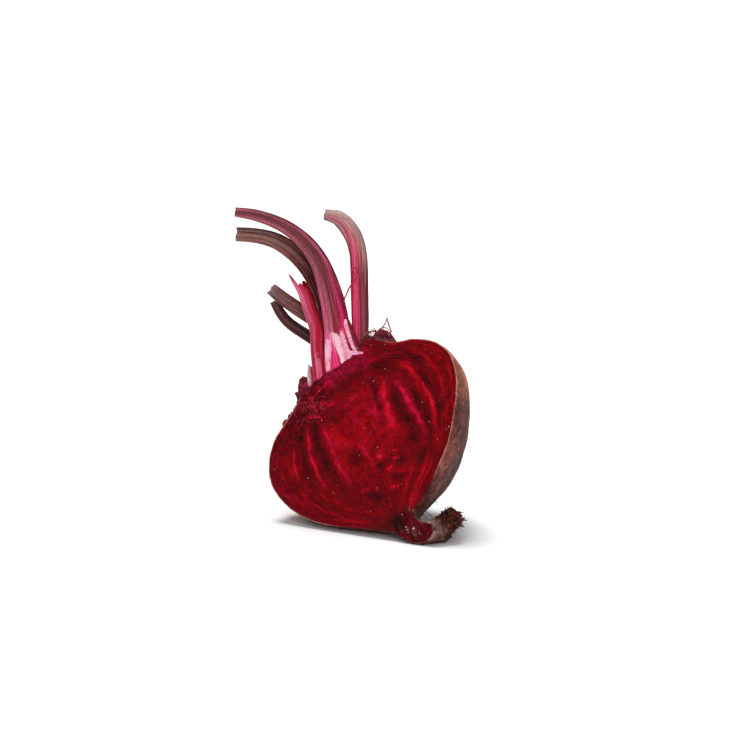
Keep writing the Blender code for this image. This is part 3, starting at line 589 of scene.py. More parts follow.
# path: x, y, z and width up the stalk. low and high: colours across it at its base and its tip,
# by their place from one edge to the other. fades: where low gives way to high. greyed: how grey
# the tip is. faces: the way its broad side faces at its base and its tip. The highlight tone is a
# pale colour painted on the brightest streaks as a highlight.
USUAL = {"flatness": 0.62, "faces": (LEVEL_SIDE, BROAD_SIDE), "end": "cut", "sliced": False}
# The stalks at the back, petiole_long_lower and the two bent ones, are dark partly in their own colour and
# partly by painted shade from the stalks in front
STALKS = {
    "petiole_long_upper": {
        "path": [
            (1.9, 1.2, 29, 12.4), (2.7, 1.5, 34.1, 11.8), (4.1, 2.3, 40.8, 10.4), (5.9, 3.2, 48.2, 9.8),
            (8, 2.4, 56.6, 9.4), (9.8, 0.4, 64.7, 8.2), (10.9, -2.6, 71.9, 7), (10.3, -6, 79.1, 6.1),
            (7.7, -10, 86, 5.4), (4, -13.8, 91.2, 4.8), (-1, -17.6, 95.9, 4.3), (-6.2, -21.4, 99.2, 3.5),
        ],
        "sliced": True, "slot": "stalk", "greyed": 0.1, "painted_highlight_tone": "D07A90", "fades": (0.16, 0.62),
        "low": {
            0: "9A2850", 0.08: "EC7494", 0.2: "E4608C", 0.3: "B4546A", 0.44: "CC7486", 0.54: "982834",
            0.7: "9A2C40", 0.8: "B43052", 0.9: "EA2C70", 1: "8E1028",
        },
        "high": {
            0: "7E3A44", 0.14: "A0545E", 0.34: "84404A", 0.46: "683234", 0.6: "6A3034", 0.74: "763642",
            0.88: "AC4A60", 1: "642A32",
        },
    },
    "petiole_long_lower": {
        "path": [
            (-2, 7.4, 29.5, 5), (-2.7, 8, 37, 5.4), (-0.8, 8.7, 46.7, 5.8), (1.8, 8.8, 55.9, 6),
            (3.4, 7, 63.8, 6.4), (4, 4.4, 70.5, 6.8), (4.1, 0.9, 75.9, 7), (2.3, -2.8, 82, 6.6),
            (-1, -6.6, 87.6, 6.1), (-6, -10.2, 91.8, 5.6), (-12, -14.2, 94.9, 5.3),
        ],
        "slot": "dark_stalk", "greyed": 0.1, "painted_highlight_tone": "A07870", "fades": (0.5, 0.85),
        "low": {0: "6A2224", 0.2: "50090E", 0.6: "420A0C", 1: "300608"},
        "high": {
            0: "8E4450", 0.14: "825852", 0.34: "704842", 0.5: "8E6860", 0.58: "866058", 0.66: "5C2C2C",
            0.82: "6A4440", 1: "5A3230",
        },
    },
    "petiole_broken": {
        "path": [
            (-7.8, 1.1, 29.1, 5.4), (-6.6, 1.3, 33.6, 5.6), (-4.5, 2.3, 42.1, 5.8), (-2.1, 2.8, 50.2, 5.7),
            (-0.7, 0.4, 57.3, 5.4), (0.5, -2, 62.9, 5.3), (0.3, -3.4, 66.2, 5.6),
        ],
        "flatness": 0.72, "end": "sliver", "sliced": True, "slot": "bright_stalk", "greyed": 0,
        "painted_highlight_tone": "E87898", "fades": (0.3, 0.9),
        "low": {
            0: "D85C7C", 0.16: "BC1C42", 0.27: "A01234", 0.4: "E0708E", 0.52: "CC3058", 0.66: "B40E26",
            0.86: "B21A36", 1: "80101C",
        },
        "high": {
            0: "A83850", 0.13: "D4587A", 0.25: "E28098", 0.36: "CE3C66", 0.55: "C42C4C", 0.75: "B01A34",
            0.9: "8A0C18", 1: "5A060C",
        },
    },
    "petiole_right": {
        "path": [
            (9.3, 5.6, 29.6, 6.4), (10.8, 5.8, 36.2, 6.4), (14.8, 6.2, 46.8, 6.8), (19.1, 5.2, 56.5, 6.9),
            (22.5, 3.9, 63.2, 6.9), (25.2, 2.4, 68.6, 6.6), (26.9, 0.4, 73.8, 6.6), (27.2, -2.4, 78.6, 6.4),
            (25.8, -5.4, 82.6, 5.4), (22.4, -8.4, 85, 3.8),
        ],
        "faces": ((0, 1, 0), CHANNEL_SIDE), "slot": "stalk", "greyed": 0.35, "painted_highlight_tone": "E07898",
        "fades": (0.35, 0.95),
        "low": {
            0: "64282C", 0.1: "803C42", 0.2: "90464C", 0.32: "842E38", 0.43: "B03A50", 0.55: "E8406C",
            0.66: "EC5082", 0.78: "E0306A", 0.9: "CC1448", 1: "8C0E22",
        },
        "high": {
            0: "C8B4B0", 0.16: "C4AAA6", 0.3: "C09088", 0.4: "C0948C", 0.5: "B87A80", 0.64: "B07878",
            0.76: "B8486C", 0.84: "A07A76", 1: "96706A",
        },
    },
    "petiole_bent_upper": {
        "path": [
            (1.6, 12.6, 29.5, 4.4), (1.2, 13.4, 37, 4.5), (0.6, 14.4, 45, 4.7), (-2.1, 14.2, 53.3, 5),
            (-4.7, 11.8, 58.4, 5.2), (-7.2, 8.6, 62.8, 5.2), (-9.1, 6.1, 66.4, 5.2), (-11.1, 3.3, 70.4, 5),
            (-12.7, 0.1, 74.6, 4.5),
        ],
        "slot": "dark_stalk", "greyed": 0.55, "painted_highlight_tone": "906A62", "fades": (0.3, 0.9),
        "low": {0: "5A1820", 0.3: "6C3430", 0.45: "58282A", 0.6: "744040", 1: "5E2028"},
        "high": {
            0: "80404A", 0.16: "6E4442", 0.4: "805A54", 0.52: "644040", 0.66: "8A645C", 0.85: "70463E",
            1: "64302E",
        },
    },
    "petiole_bent_lower": {
        "path": [
            (-4.4, 12.6, 29, 3.4), (-4.6, 13.2, 36, 3.6), (-6, 13.6, 44.1, 3.9), (-7.9, 13.4, 50.3, 4.2),
            (-10.6, 12.6, 55.4, 4.3), (-13.5, 10.8, 60.3, 4.2), (-15, 9, 63.9, 4), (-15.4, 6.8, 67.5, 3.8),
            (-15.2, 4.8, 71.8, 3.4),
        ],
        "flatness": 0.7, "slot": "dark_stalk", "greyed": 0.15, "painted_highlight_tone": "84585A", "fades": (0.3, 0.9),
        "low": {0: "6A1A2A", 0.16: "4C2024", 0.36: "38181A", 0.5: "6A4244", 0.62: "381618", 1: "2A0C10"},
        "high": {0: "5A2A2C", 0.3: "482426", 0.5: "6A4244", 0.7: "401E20", 1: "341416"},
    },
    "petiole_stub": {
        "path": [
            (-12.2, 0.9, 28.6, 2), (-11.8, 1, 31, 2.2), (-11, 1.1, 34.2, 1.9), (-9.8, 1, 37.4, 1.1),
        ],
        "flatness": 0.8, "faces": (LEVEL_SIDE, LEVEL_SIDE), "end": "sliver", "sliced": True,
        "slot": "pale_stalk", "greyed": 0.2, "painted_highlight_tone": "F0DCD8", "fades": (0.1, 0.5),
        "low": {0: "B81C54", 0.5: "D86C94", 1: "C02A60"},
        "high": {0: "C88C98", 0.4: "EAD2CE", 0.7: "D8A8B0", 1: "A86070"},
    },
}
STALK_SIDES, RING_SPACING = 96, 0.7
STALK_RIBS, RIB_HEIGHT, CHANNEL_DEPTH = 5, 0.07, 0.3
SLIVER_REACH, SLIVER_LEAN = 1.2, -0.35
STALK_CUT_TOP = 50.0
SLICE_PROUD, SLICE_SUNK, CROWN_TOP = 0.06, 0.5, (30.2, 31.4)
# Fine ribs: how many round the stalk, their height, phase and drift up the stalk
FINE_RIBS = [(13, 0.03, 0.4, 1.1), (19, 0.022, 2.2, -0.8), (29, 0.012, 4.0, 1.7)]
LIP_IN, LIP_DOWN, HOLLOW_DOWN, GREY_TIP, TORN_TIP = 0.35, 0.2, 0.9, 5.0, 3.0
STALK_DENTS, CUT_RAGGED, SLIVER_RAGGED = 0.14, 0.5, 2.4
# The pale inside of the sliced stalks, from one edge to the other
SLICE_TONES = {
    "petiole_long_upper": {
        0: "D8608C", 0.1: "F8A8C4", 0.2: "FABCD0", 0.3: "F6A0C0", 0.46: "F8AAC4", 0.6: "F8CCD8",
        0.7: "F6B8C6", 0.78: "E88CAC", 0.86: "F6B8C8", 0.94: "E070A0", 1: "B03858",
    },
    "petiole_broken": {
        0: "DC7890", 0.14: "B41840", 0.28: "A01034", 0.42: "DC7890", 0.56: "D25078", 0.68: "D4688C",
        0.82: "B01838", 1: "98102C",
    },
    "petiole_stub": {0: "D89AA8", 0.5: "F0DCD8", 1: "D090A0"},
}
# Magenta flame in the widest slice, wider towards the crown: place across it, half width at the
# crown, how much narrower each mm up, soft edge; and where that slice ends, lower to its right
FLAMED, FLAME_AT, FLAME_HALF, FLAME_NARROWS, FLAME_EDGE = "petiole_long_upper", 0.38, 0.27, 0.0125, 0.06
SLICE_END, SLICE_SLANT = 23.4, 10.5


def stalk_rows(stalk, seed):
    """Rows up one stalk, with the share along it, mm along it, place across it and depth of the slice."""
    path = np.array(stalk["path"])
    length = np.linalg.norm(np.diff(path[:, :3], axis=0), axis=1).sum()
    path = evenly(path, int(length / RING_SPACING))
    along = unit(np.gradient(path[:, :3], axis=0))
    share = np.linspace(0, 1, len(path))[:, None]
    turn = np.linspace(0, 2 * math.pi, STALK_SIDES, endpoint=False)[None, :]
    base, tip = np.array(stalk["faces"])
    facing = base + (tip - base) * ramp(0.3, 1.0, share)
    thick = unit(facing - along * np.sum(facing * along, axis=1, keepdims=True))
    wide = np.cross(along, thick)
    half = path[:, 3:] / 2
    rib = 1 + RIB_HEIGHT * np.cos(STALK_RIBS * turn)
    for count, height, phase, drift in FINE_RIBS:
        rib = rib + height * np.cos(count * turn + phase + seed + drift * share * length / 40)
    channel = np.where(np.sin(turn) < 0, np.exp(-(np.cos(turn) / 0.5) ** 2), 0.0)
    across = half * np.cos(turn) * rib
    through = half * stalk["flatness"] * (np.sin(turn) * rib + CHANNEL_DEPTH * channel)
    forward, ragged = np.zeros_like(across), CUT_RAGGED
    if stalk["end"] == "sliver":
        sliver = 2 * half * (0.5 - 0.5 * np.cos(turn)) ** 4 * ramp(0.8, 1.0, share)
        across, forward, ragged = across - sliver * SLIVER_LEAN, sliver * SLIVER_REACH, SLIVER_RAGGED
    torn = ramp(1 - TORN_TIP / length, 1.0, share) * half * ragged
    forward = forward + torn * (0.16 * np.sin(3 * turn + seed) + 0.14 * np.sin(7 * turn + 2 * seed))
    rows = path[:, None, :3] + sum(
        d[..., None] * v[:, None] for d, v in ((across, wide), (through, thick), (forward, along))
    )
    rows = rows + thick[:, None] * (STALK_DENTS * lumps(rows, 4.0, 2, seed))[..., None]
    sunk = np.zeros(rows.shape[:2])
    if stalk["sliced"]:
        sunk = np.where(rows[..., 2] < STALK_CUT_TOP, np.maximum(-rows[..., 1], 0.0), 0.0)
        lies = -SLICE_PROUD + SLICE_SUNK * ramp(CROWN_TOP[1], CROWN_TOP[0], rows[..., 2])
        rows[..., 1] = np.where(sunk > 0, lies, rows[..., 1])
    share = np.broadcast_to(share, sunk.shape)
    return rows, share, share * length, np.broadcast_to(np.cos(turn), sunk.shape), sunk


def stalk_rind(name, stalk, labels):
    """Material of one stalk, by its own colours and by whether the knife opened it."""
    made, node, where, read = begun(f"{name}_rind", labels)
    streak = drawn_out(node, read["across"], 8.0, read["rise"], 0.05, 3.0, 0.65)
    patch = node("TexNoise", where, Scale=260.0, Detail=3.0, Roughness=0.6)
    speck = node("TexNoise", where, Scale=1300.0, Detail=2.0)
    centred = node("Math", read["across"], 0.5, 0.5, operation="MULTIPLY_ADD")
    waver = node("Math", patch, 0.5, operation="SUBTRACT")
    band = node("Math", waver, 0.10, centred, operation="MULTIPLY_ADD")
    low, high = (node("ValToRGB", band, stops=stalk[end]) for end in ("low", "high"))
    drying = node("Math", streak, 0.5, read["share"], operation="MULTIPLY_ADD")
    dried = node("MapRange", drying, From_Min=stalk["fades"][0] + 0.25,
                 From_Max=stalk["fades"][1] + 0.25, interpolation_type="SMOOTHSTEP")
    grey = node("MapRange", read["tip"], To_Max=stalk["greyed"], interpolation_type="SMOOTHSTEP")
    # Painted shade in the rind's grooves: the tone is scaled darker along the low streaks and lighter along
    # the high ones
    groove_shade_and_streaks = node("MapRange", streak, From_Min=0.36, From_Max=0.60, To_Min=0.44, To_Max=1.26)
    # Painted highlight: the brightest streaks are mixed towards the stalk's pale highlight colour
    painted_highlight_share = node("MapRange", streak, From_Min=0.54, From_Max=0.70, To_Max=0.5)
    grainy = node("MapRange", speck, From_Min=0.3, From_Max=0.7, To_Min=0.82, To_Max=1.18)
    tone = node("Mix", dried, low, high, data_type="RGBA")
    tone = node("Mix", grey, tone, linear("8C7C7C"), data_type="RGBA")
    tone = node("VectorMath", tone, groove_shade_and_streaks, operation="SCALE")
    tone = node("Mix", painted_highlight_share, tone, linear(stalk["painted_highlight_tone"]), data_type="RGBA")
    tone = node("VectorMath", tone, grainy, operation="SCALE")
    if stalk["sliced"]:
        opened = read["slice"]
        flame = node("Math", streak, 0.5, operation="SUBTRACT")
        flame = node("Math", flame, 0.4, band, operation="MULTIPLY_ADD")
        pale = node("ValToRGB", flame, stops=SLICE_TONES[name])
        if name == FLAMED:
            aside = node("Math", flame, FLAME_AT, operation="SUBTRACT")
            apart = node("Math", aside, operation="ABSOLUTE")
            licked = node("Math", read["rise"], FLAME_NARROWS, apart, operation="MULTIPLY_ADD")
            core = node("MapRange", licked, From_Min=FLAME_HALF, From_Max=FLAME_HALF - FLAME_EDGE,
                        To_Max=0.97, interpolation_type="SMOOTHSTEP")
            sap = node("ValToRGB", streak, stops={0.36: "B8003C", 0.5: "D41058", 0.64: "F04C8C"})
            pale = node("Mix", core, pale, sap, data_type="RGBA")
            slanted = node("Math", flame, SLICE_SLANT, read["rise"], operation="MULTIPLY_ADD")
            ends = node("MapRange", slanted, From_Min=SLICE_END, From_Max=SLICE_END - 0.8)
            opened = node("Math", opened, ends, operation="MULTIPLY")
        juice = node("MapRange", patch, From_Min=0.52, From_Max=0.68, To_Max=0.55,
                     interpolation_type="SMOOTHSTEP")
        low_edge = node("MapRange", read["rise"], From_Min=3.6, From_Max=1.6,
                        interpolation_type="SMOOTHSTEP")
        tear = node("MapRange", patch, From_Min=0.35, From_Max=0.65, To_Min=0.15, To_Max=2.4)
        torn = node("Math", tear, opened, operation="MULTIPLY")
        sliced = node("MapRange", torn, From_Min=0.04, From_Max=0.14)
        pale = node("Mix", juice, pale, linear("CC1C5C"), data_type="RGBA")
        pale = node("Mix", low_edge, pale, linear("B80C48"), data_type="RGBA")
        tone = node("Mix", sliced, tone, pale, data_type="RGBA")
    height = node("Math", speck, 0.2, streak, operation="MULTIPLY_ADD")
    bump = node("Bump", Strength=0.8, Distance=0.0005, Height=height)
    node("Principled BSDF", Base_Color=tone, Roughness=0.36, Specular_IOR_Level=0.1, Normal=bump)
    return made


# The stalk's rind is taut and faintly waxy, ribbed lengthwise, the ribs 0.5 to 1 mm apart, with
# painted shade as dark lines between them. Juicy rind is magenta and a little glossy, with a painted
# highlight on its brightest streaks; dry rind is mauve and greyish; where the knife opened it, the
# inside is nearly white with magenta sap along its veins.
for seed, name in enumerate(STALKS):
    stalk = USUAL | STALKS[name]
    rows, share, rise, across, sunk = stalk_rows(stalk, 1.3 * seed)
    half = stalk["path"][-1][3] / 2
    tip, below = rows[-1].mean(0), rows[-6].mean(0)
    # The cut end is a lip that turns in, with a shallow well in it
    lip, well = (
        rows[-1] + (tip - rows[-1]) * inwards * LIP_IN + unit(below - tip) * half * down
        for inwards, down in ((1, LIP_DOWN), (2, HOLLOW_DOWN))
    )
    rings = np.concatenate([rows, lip[None], well[None]])
    count = len(rings)
    hubs = count * STALK_SIDES
    faces = quads(count, STALK_SIDES, closed=True)
    for start, hub, turned in ((0, hubs, True), (hubs - STALK_SIDES, hubs + 1, False)):
        for k in range(STALK_SIDES):
            pair = [start + k, start + (k + 1) % STALK_SIDES]
            faces.append((pair[::-1] if turned else pair) + [hub])
    points = np.concatenate([rings.reshape(-1, 3), [rows[0].mean(0)], [well.mean(0)]])
    values = {
        "share": share, "rise": rise, "across": across, "slice": sunk,
        "tip": ramp(rise.max() - GREY_TIP, rise.max(), rise),
    }
    values = {label: np.concatenate([v.ravel(), v[-1], v[-1], [0.0, 1.0]]) for label, v in values.items()}
    piece(f"{name}_stalk", points, faces, values, stalk_rind(name, stalk, values), name)

# Crown: leaf scars, lobes, tangles and fibres
# Where older leaves broke away they left rows of rough dark red scales, fused to the crown behind
# and beside the stalks, upright lobes at its left edge and crumbs along the cut. Brown fibres of
# old leaf veins, curled torn threads and a few thin red shoots stand among them.
SCAR_RINGS = [
    # radius, how many, height, half width, first and last angle round the crown in degrees
    (8.8, 5, 2.4, 1.7, 40.0, 150.0), (17.0, 9, 3.4, 2.6, 76.0, 174.0), (21.0, 11, 2.6, 2.8, 68.0, 176.0),
    (25.0, 12, 1.6, 3.0, 60.0, 172.0), (17.0, 4, 8.0, 2.4, 14.0, 66.0), (21.5, 6, 5.0, 2.6, 8.0, 62.0),
]
# Upright lobes at the crown's left edge: foot, top and half width
LOBES = [
    ((-15.4, 2.2, 27.2), (-14.5, 2.4, 35.6), 4.0), ((-18.4, 1.5, 26.8), (-18.8, 1.6, 31.4), 1.8),
    ((-12.6, 2.4, 29.2), (-12.4, 2.6, 32.8), 1.2),
]
# Crumbs of scar along the cut edge left of the lobes: how many, and first and last place in mm
CRUMBS, CRUMBS_FROM, CRUMBS_TO, CRUMB_SUNK = 26, -15.5, -27.5, 0.9
SCAR_THICKNESS, SCAR_SUNK, SCAR_TAPER, SCAR_LEAN, SCAR_JITTER = 0.55, 3.0, 0.72, 0.34, 0.06
# Scars are dry from a radius outwards, the more so over this distance, and only in the rings that
# begin beyond this angle
DRY_FROM, DRY_OVER, DRY_SIDE = 14.0, 12.0, 50
SCAR_ROUNDNESS, SCAR_ROUGHNESS, SCAR_LUMPS, TANGLE_STRAY = 4.0, 3.5, 2.2, 0.8
# Threads: points (x, y, z) along each and its thickness, in mm
RED_SHOOTS = [
    ([(18.6, 6.2, 34.5), (19.4, 6.2, 37.2), (21.1, 7, 38.4), (23.1, 8, 40.4), (24.2, 8, 41.8)], 0.5),
    ([(24, 8, 41.3), (23.8, 7.5, 37.7), (23.9, 7, 35.4), (23, 6, 33.6), (23.4, 4.4, 29.6)], 0.6),
    ([(13.3, 0, 53), (15.6, 0, 55.2), (17.9, -0.1, 56.8), (20.6, -0.5, 58), (22.7, -0.9, 59.3)], 0.6),
    ([(22.7, -0.9, 59.3), (21.4, -1.8, 60.6), (22, -2.1, 61.9), (23.6, -2, 61.3), (23.2, -1.4, 59.6),
      (21.9, -1, 58.9)], 0.7),
]
VEIN_FIBRES = [
    ([(13, 3.6, 31), (13, 4, 36.1), (14.9, 5, 38.6), (16.6, 6, 39.2), (18.2, 6, 38.3), (20.2, 6, 36.2),
      (22.8, 5, 33.4), (23.7, 4, 29.6)], 0.45),
    ([(8.6, 1.3, 31.5), (8.9, 1.3, 34), (10.1, 1.7, 35.6), (11, 1.3, 33.9), (11.4, 1.3, 31.2)], 0.4),
    ([(14.6, 2.6, 37.4), (13.6, 2.8, 36.2), (13.1, 2.4, 34.3), (13.9, 2, 31.4)], 0.4),
    ([(15.5, 5.6, 33), (15.9, 4.4, 37.4), (17.5, 4.2, 38.2), (19.8, 4, 36), (21, 3.6, 31)], 0.4),
]
PALE_STRANDS = [
    ([(7.6, 0.6, 43), (7.3, 0.5, 39.3), (7.3, 0.4, 36), (7.6, 0.3, 31)], 2),
    ([(10.7, 1, 46.5), (10.1, 0.8, 42.2), (9.8, 0.6, 36.8), (10.1, 0.4, 31)], 1.8),
    ([(7.4, 0.3, 33.6), (8.6, 0.3, 32.6), (10.3, 0.3, 31.4), (12.8, 0.3, 30)], 1.7),
]
YOUNG_STALKS = [
    ([(9.6, 3.4, 50), (9.9, 3.2, 44), (10.2, 2.8, 38), (10.2, 2.4, 29)], 3.6),
    ([(13.2, 7.6, 40.5), (13, 7, 36), (12.8, 6.4, 28)], 3),
    ([(-9.6, 1.9, 37), (-9.9, 1.7, 33), (-10, 1.4, 26)], 2.2),
]
# Loose curled threads: where their middles lie (x, y, z), how far they spread, how many, how far
# they wind out of their plane, ranges of how wide they curl and how thick they are, and the seed
HUMP_TANGLE = ((17.6, 5.0, 35.2), (5.0, 2.6, 2.6), 34, 1.2, (0.8, 2.2), (0.3, 0.6), 21)
EDGE_TANGLE = ((-14.5, -0.1, 21.4), (7.2, 0.15, 3.6), 40, 0.0, (0.6, 2.0), (0.24, 0.4), 22)
THREAD_SIDES, THREAD_SPACING, FLOOR_CLEARANCE = 6, 0.5, 0.1


def grower(name, **sizes):
    """Empty geometry tree, what adds a node to it, and its inputs; sizes name each with its kind."""
    tree = bpy.data.node_groups.new(name, "GeometryNodeTree")
    tree.interface.new_socket("Geometry", in_out="OUTPUT", socket_type="NodeSocketGeometry")
    for label, kind in {"Geometry": "Geometry", **sizes, "Material": "Material"}.items():
        label = label.replace("_", " ")
        tree.interface.new_socket(label, in_out="INPUT", socket_type=f"NodeSocket{kind}")
    node = partial(add_node, tree)
    return tree, node, node("NodeGroupInput").node.outputs


def shaken(node, shape, lump_size, reach, detail=1.0):
    """Moves a shape's points about by noise, by the size of its lumps and how far it reaches."""
    at = node("InputPosition")
    fineness = node("Math", 1.0, lump_size, operation="DIVIDE")
    lumpy = node("TexNoise", at, Scale=fineness, Detail=detail, out="Color")
    middle = node("VectorMath", lumpy, (0.5, 0.5, 0.5), operation="SUBTRACT")
    pushed = node("VectorMath", middle, reach, operation="SCALE")
    return node("SetPosition", shape, Offset=pushed)


def finished(node, grown, finish):
    """Ends a tree: what grew is made real and given its material."""
    real = node("RealizeInstances", grown)
    node("NodeGroupOutput", node("SetMaterial", real, Material=finish))


def tubes(node, curves, sides, thick, finish):
    """Ends a tree whose curves become closed tubes."""
    ring = node("CurvePrimitiveCircle", mode="RADIUS", Resolution=sides, Radius=1.0)
    tube = node("CurveToMesh", curves, ring, Scale=thick, Fill_Caps=True)
    finished(node, tube, finish)


def grow(name, mesh, tree, slot, **sizes):
    """The plain piece that a tree makes from a mesh, with its named inputs set."""
    made = in_scene(name, mesh)
    modifier = made.modifiers.new("growth", "NODES")
    modifier.node_group = tree
    for socket in tree.interface.items_tree:
        if socket.in_out == "INPUT" and socket.name != "Geometry":
            modifier[socket.identifier] = sizes[socket.name.replace(" ", "_")]
    shown = made.evaluated_get(bpy.context.evaluated_depsgraph_get())
    plain = bpy.data.meshes.new_from_object(shown)
    for corner in plain.vertices:
        corner.co.z = max(corner.co.z, FLOOR_CLEARANCE * MM)
    made.modifiers.remove(modifier)
    made.data = plain
    plain.shade_smooth()
    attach(made, "root")


def crown_height(radius, angle):
    """Height of the crown's surface at a radius, at one angle round the root's axis."""
    column = root_column(angle)[:ROOT_ROWS // 3]
    return float(np.interp(radius, np.hypot(column[:, 0], column[:, 1]), column[:, 2]))


# Raw dried leaf base: dark red to nearly black, rough as bark at half a millimetre, and brown and
# corky where it has been dry for longest, at the back
scar_rind, node, where, read = begun("dried_leaf_scar", ["dry"])
rough = node("TexNoise", where, Scale=620.0, Detail=4.0, Roughness=0.7)
raw, corky = (node("ValToRGB", rough, stops=stops) for stops in (
    {0.34: "28050C", 0.46: "520816", 0.56: "7A1024", 0.66: "982A38", 0.76: "B06A5A"},
    {0.36: "30120E", 0.48: "5A3026", 0.60: "7E5040", 0.72: "A07858"},
))
base = node("Mix", read["dry"], raw, corky, data_type="RGBA")
bump = node("Bump", Strength=0.8, Distance=0.0005, Height=rough)
node("Principled BSDF", Base_Color=base, Roughness=0.55, Specular_IOR_Level=0.12, Normal=bump)

feet, turns, spans, dryness = [], [], [], []


def add_scar(foot, rise_to, outward, half, tall, dry=0.0):
    """One scar: where it stands, which way it rises and faces, half its width, its height, how dry."""
    rise_to = unit(np.array(rise_to))
    side = unit(np.cross(rise_to, outward))
    turn = Matrix((ATTITUDE @ np.stack([side, np.cross(rise_to, side), rise_to], 1)).tolist())
    feet.append(foot)
    turns.append(turn.to_quaternion())
    spans.append((half, half * SCAR_THICKNESS, tall))
    dryness.append(dry)


chance = np.random.default_rng(11)
for radius, how_many, tall, half, first, last in SCAR_RINGS:
    for step in range(how_many):
        angle = math.radians(first + (last - first) * (step + 0.5) / how_many)
        angle += chance.uniform(-SCAR_JITTER, SCAR_JITTER)
        outward = np.array([math.cos(angle), math.sin(angle), 0.0])
        foot = radius * outward + (0.0, 0.0, crown_height(radius, angle) - SCAR_SUNK)
        wide = half * chance.uniform(0.8, 1.15)
        dry = np.clip((radius - DRY_FROM) / DRY_OVER, 0, 1) * (first > DRY_SIDE)
        rises = tall * chance.uniform(0.6, 1.25) + SCAR_SUNK
        add_scar(foot, outward * SCAR_LEAN + (0.0, 0.0, 1.0), outward, wide, rises, dry)
for foot, top, half in LOBES:
    rise_to = np.subtract(top, foot)
    add_scar(foot, rise_to, (0.0, -1.0, 0.0), half, np.linalg.norm(rise_to))
for x in np.linspace(CRUMBS_FROM, CRUMBS_TO, CRUMBS):
    half, tall = chance.uniform(0.5, 1.2), chance.uniform(1.2, 2.2)
    foot = (x, chance.uniform(0.5, 1.6), crown_height(-x, math.pi) - CRUMB_SUNK)
    add_scar(foot, (chance.uniform(-0.9, 0.1), -0.15, 1.0), (0.0, -1.0, 0.0), half, tall)
seeds_mesh = bpy.data.meshes.new("scar_feet")
seeds_mesh.from_pydata(laid(feet).tolist(), [], [])
for label, kind, part, numbers in (
    ("span", "FLOAT_VECTOR", "vector", np.array(spans) * MM), ("dry", "FLOAT", "value", dryness),
    ("turn", "QUATERNION", "value", turns),
):
    seeds_mesh.attributes.new(label, kind, "POINT").data.foreach_set(part, np.float32(numbers).ravel())

# One scale is a cone of unit size whose sides bulge into a dome. It is set on each foot, stretched
# to its span and roughened.
tree, node, given = grower(
    "leaf_scars", Top_Width="Float", Top_Roundness="Float", Roughness="Float", Lump_Size="Float",
)
scale = node("MeshCone", Vertices=14, Side_Segments=9, Fill_Segments=3, Depth=1.0,
             Radius_Top=given["Top Width"], Radius_Bottom=1.0, fill_type="TRIANGLE_FAN")
at = node("InputPosition")
up = node("Math", node("SeparateXYZ", at, out="Z"), given["Top Roundness"], operation="POWER")
rest = node("Math", 1.03, up, operation="SUBTRACT")
narrow = node("Math", rest, operation="SQRT")
domed = node("VectorMath", at, node("CombineXYZ", narrow, narrow, 1.0), operation="MULTIPLY")
scale = node("SetPosition", scale, Position=domed)
spread = node("InputNamedAttribute", data_type="FLOAT_VECTOR", Name="span")
turned = node("InputNamedAttribute", data_type="QUATERNION", Name="turn")
placed = node("InstanceOnPoints", given["Geometry"], Instance=scale, Rotation=turned, Scale=spread)
real = node("RealizeInstances", placed)
finished(node, shaken(node, real, given["Lump Size"], given["Roughness"], 3.0), given["Material"])
grow("crown_leaf_scars", seeds_mesh, tree, "skin", Top_Width=SCAR_TAPER, Top_Roundness=SCAR_ROUNDNESS,
     Roughness=SCAR_ROUGHNESS * MM, Lump_Size=SCAR_LUMPS * MM, Material=scar_rind)

# A thread follows its guide in even steps, strays a little from it and has its own thickness
thread_tree, node, given = grower(
    "threads", Spacing="Float", Sides="Int", Wander="Float", Curl_Size="Float",
)
lines = node("MeshToCurve", given["Geometry"])
even = node("ResampleCurve", lines, mode="LENGTH", Length=given["Spacing"])
thick = node("InputNamedAttribute", data_type="FLOAT", Name="thick")
loose = shaken(node, even, given["Curl Size"], given["Wander"])
tubes(node, loose, given["Sides"], thick, given["Material"])


def threads(name, slot, finish, guides, wander=0.6, curl_size=2.5):
    """One piece of thin tubes along guides of (points, thickness) in mm, tapered to both ends."""
    places, links, sizes = [], [], []
    for path, thickness in guides:
        along = evenly(path, 6 * len(path))
        links += [(k, k + 1) for k in range(len(places), len(places) + len(along) - 1)]
        places += along.tolist()
        swell = 0.45 + 0.55 * np.sin(np.linspace(0.5, math.pi - 0.3, len(along)))
        sizes += (thickness / 2 * MM * swell).tolist()
    mesh = bpy.data.meshes.new(name)
    mesh.from_pydata(laid(places).tolist(), links, [])
    mesh.attributes.new("thick", "FLOAT", "POINT").data.foreach_set("value", np.float32(sizes))
    grow(name, mesh, thread_tree, slot, Spacing=THREAD_SPACING * MM, Sides=THREAD_SIDES,
         Wander=wander * MM, Curl_Size=curl_size * MM, Material=finish)


def plain_rind(name, dark, light, roughness):
    """Material mottled between two colours by specks of 1 mm."""
    made, node, where, _ = begun(name)
    speck = node("TexNoise", where, Scale=1000.0, Detail=2.0)
    base = node("ValToRGB", speck, stops={0.38: dark, 0.62: light})
    node("Principled BSDF", Base_Color=base, Roughness=roughness, Specular_IOR_Level=0.2)
    return made


def curled(middle, spread, how_many, winding, loop, thickness, seed):
    """Guides of threads that curl by 60 to 210 degrees, strewn by chance."""
    draw = np.random.default_rng(seed)
    guides = []
    for _ in range(how_many):
        centre = np.array(middle) + np.array(spread) * draw.uniform(-1, 1, 3)
        turn = np.linspace(0, math.radians(draw.uniform(60, 210)), 7) + draw.uniform(0, 2 * math.pi)
        radius = draw.uniform(*loop) * np.linspace(1.0, draw.uniform(0.5, 1.6), 7)
        rise = winding * draw.uniform(-1, 1) * np.linspace(0, 1, 7) * loop[1]
        ring = np.stack([radius * np.cos(turn), rise, radius * np.sin(turn)], 1)
        guides.append(((centre + ring).tolist(), draw.uniform(*thickness)))
    return guides


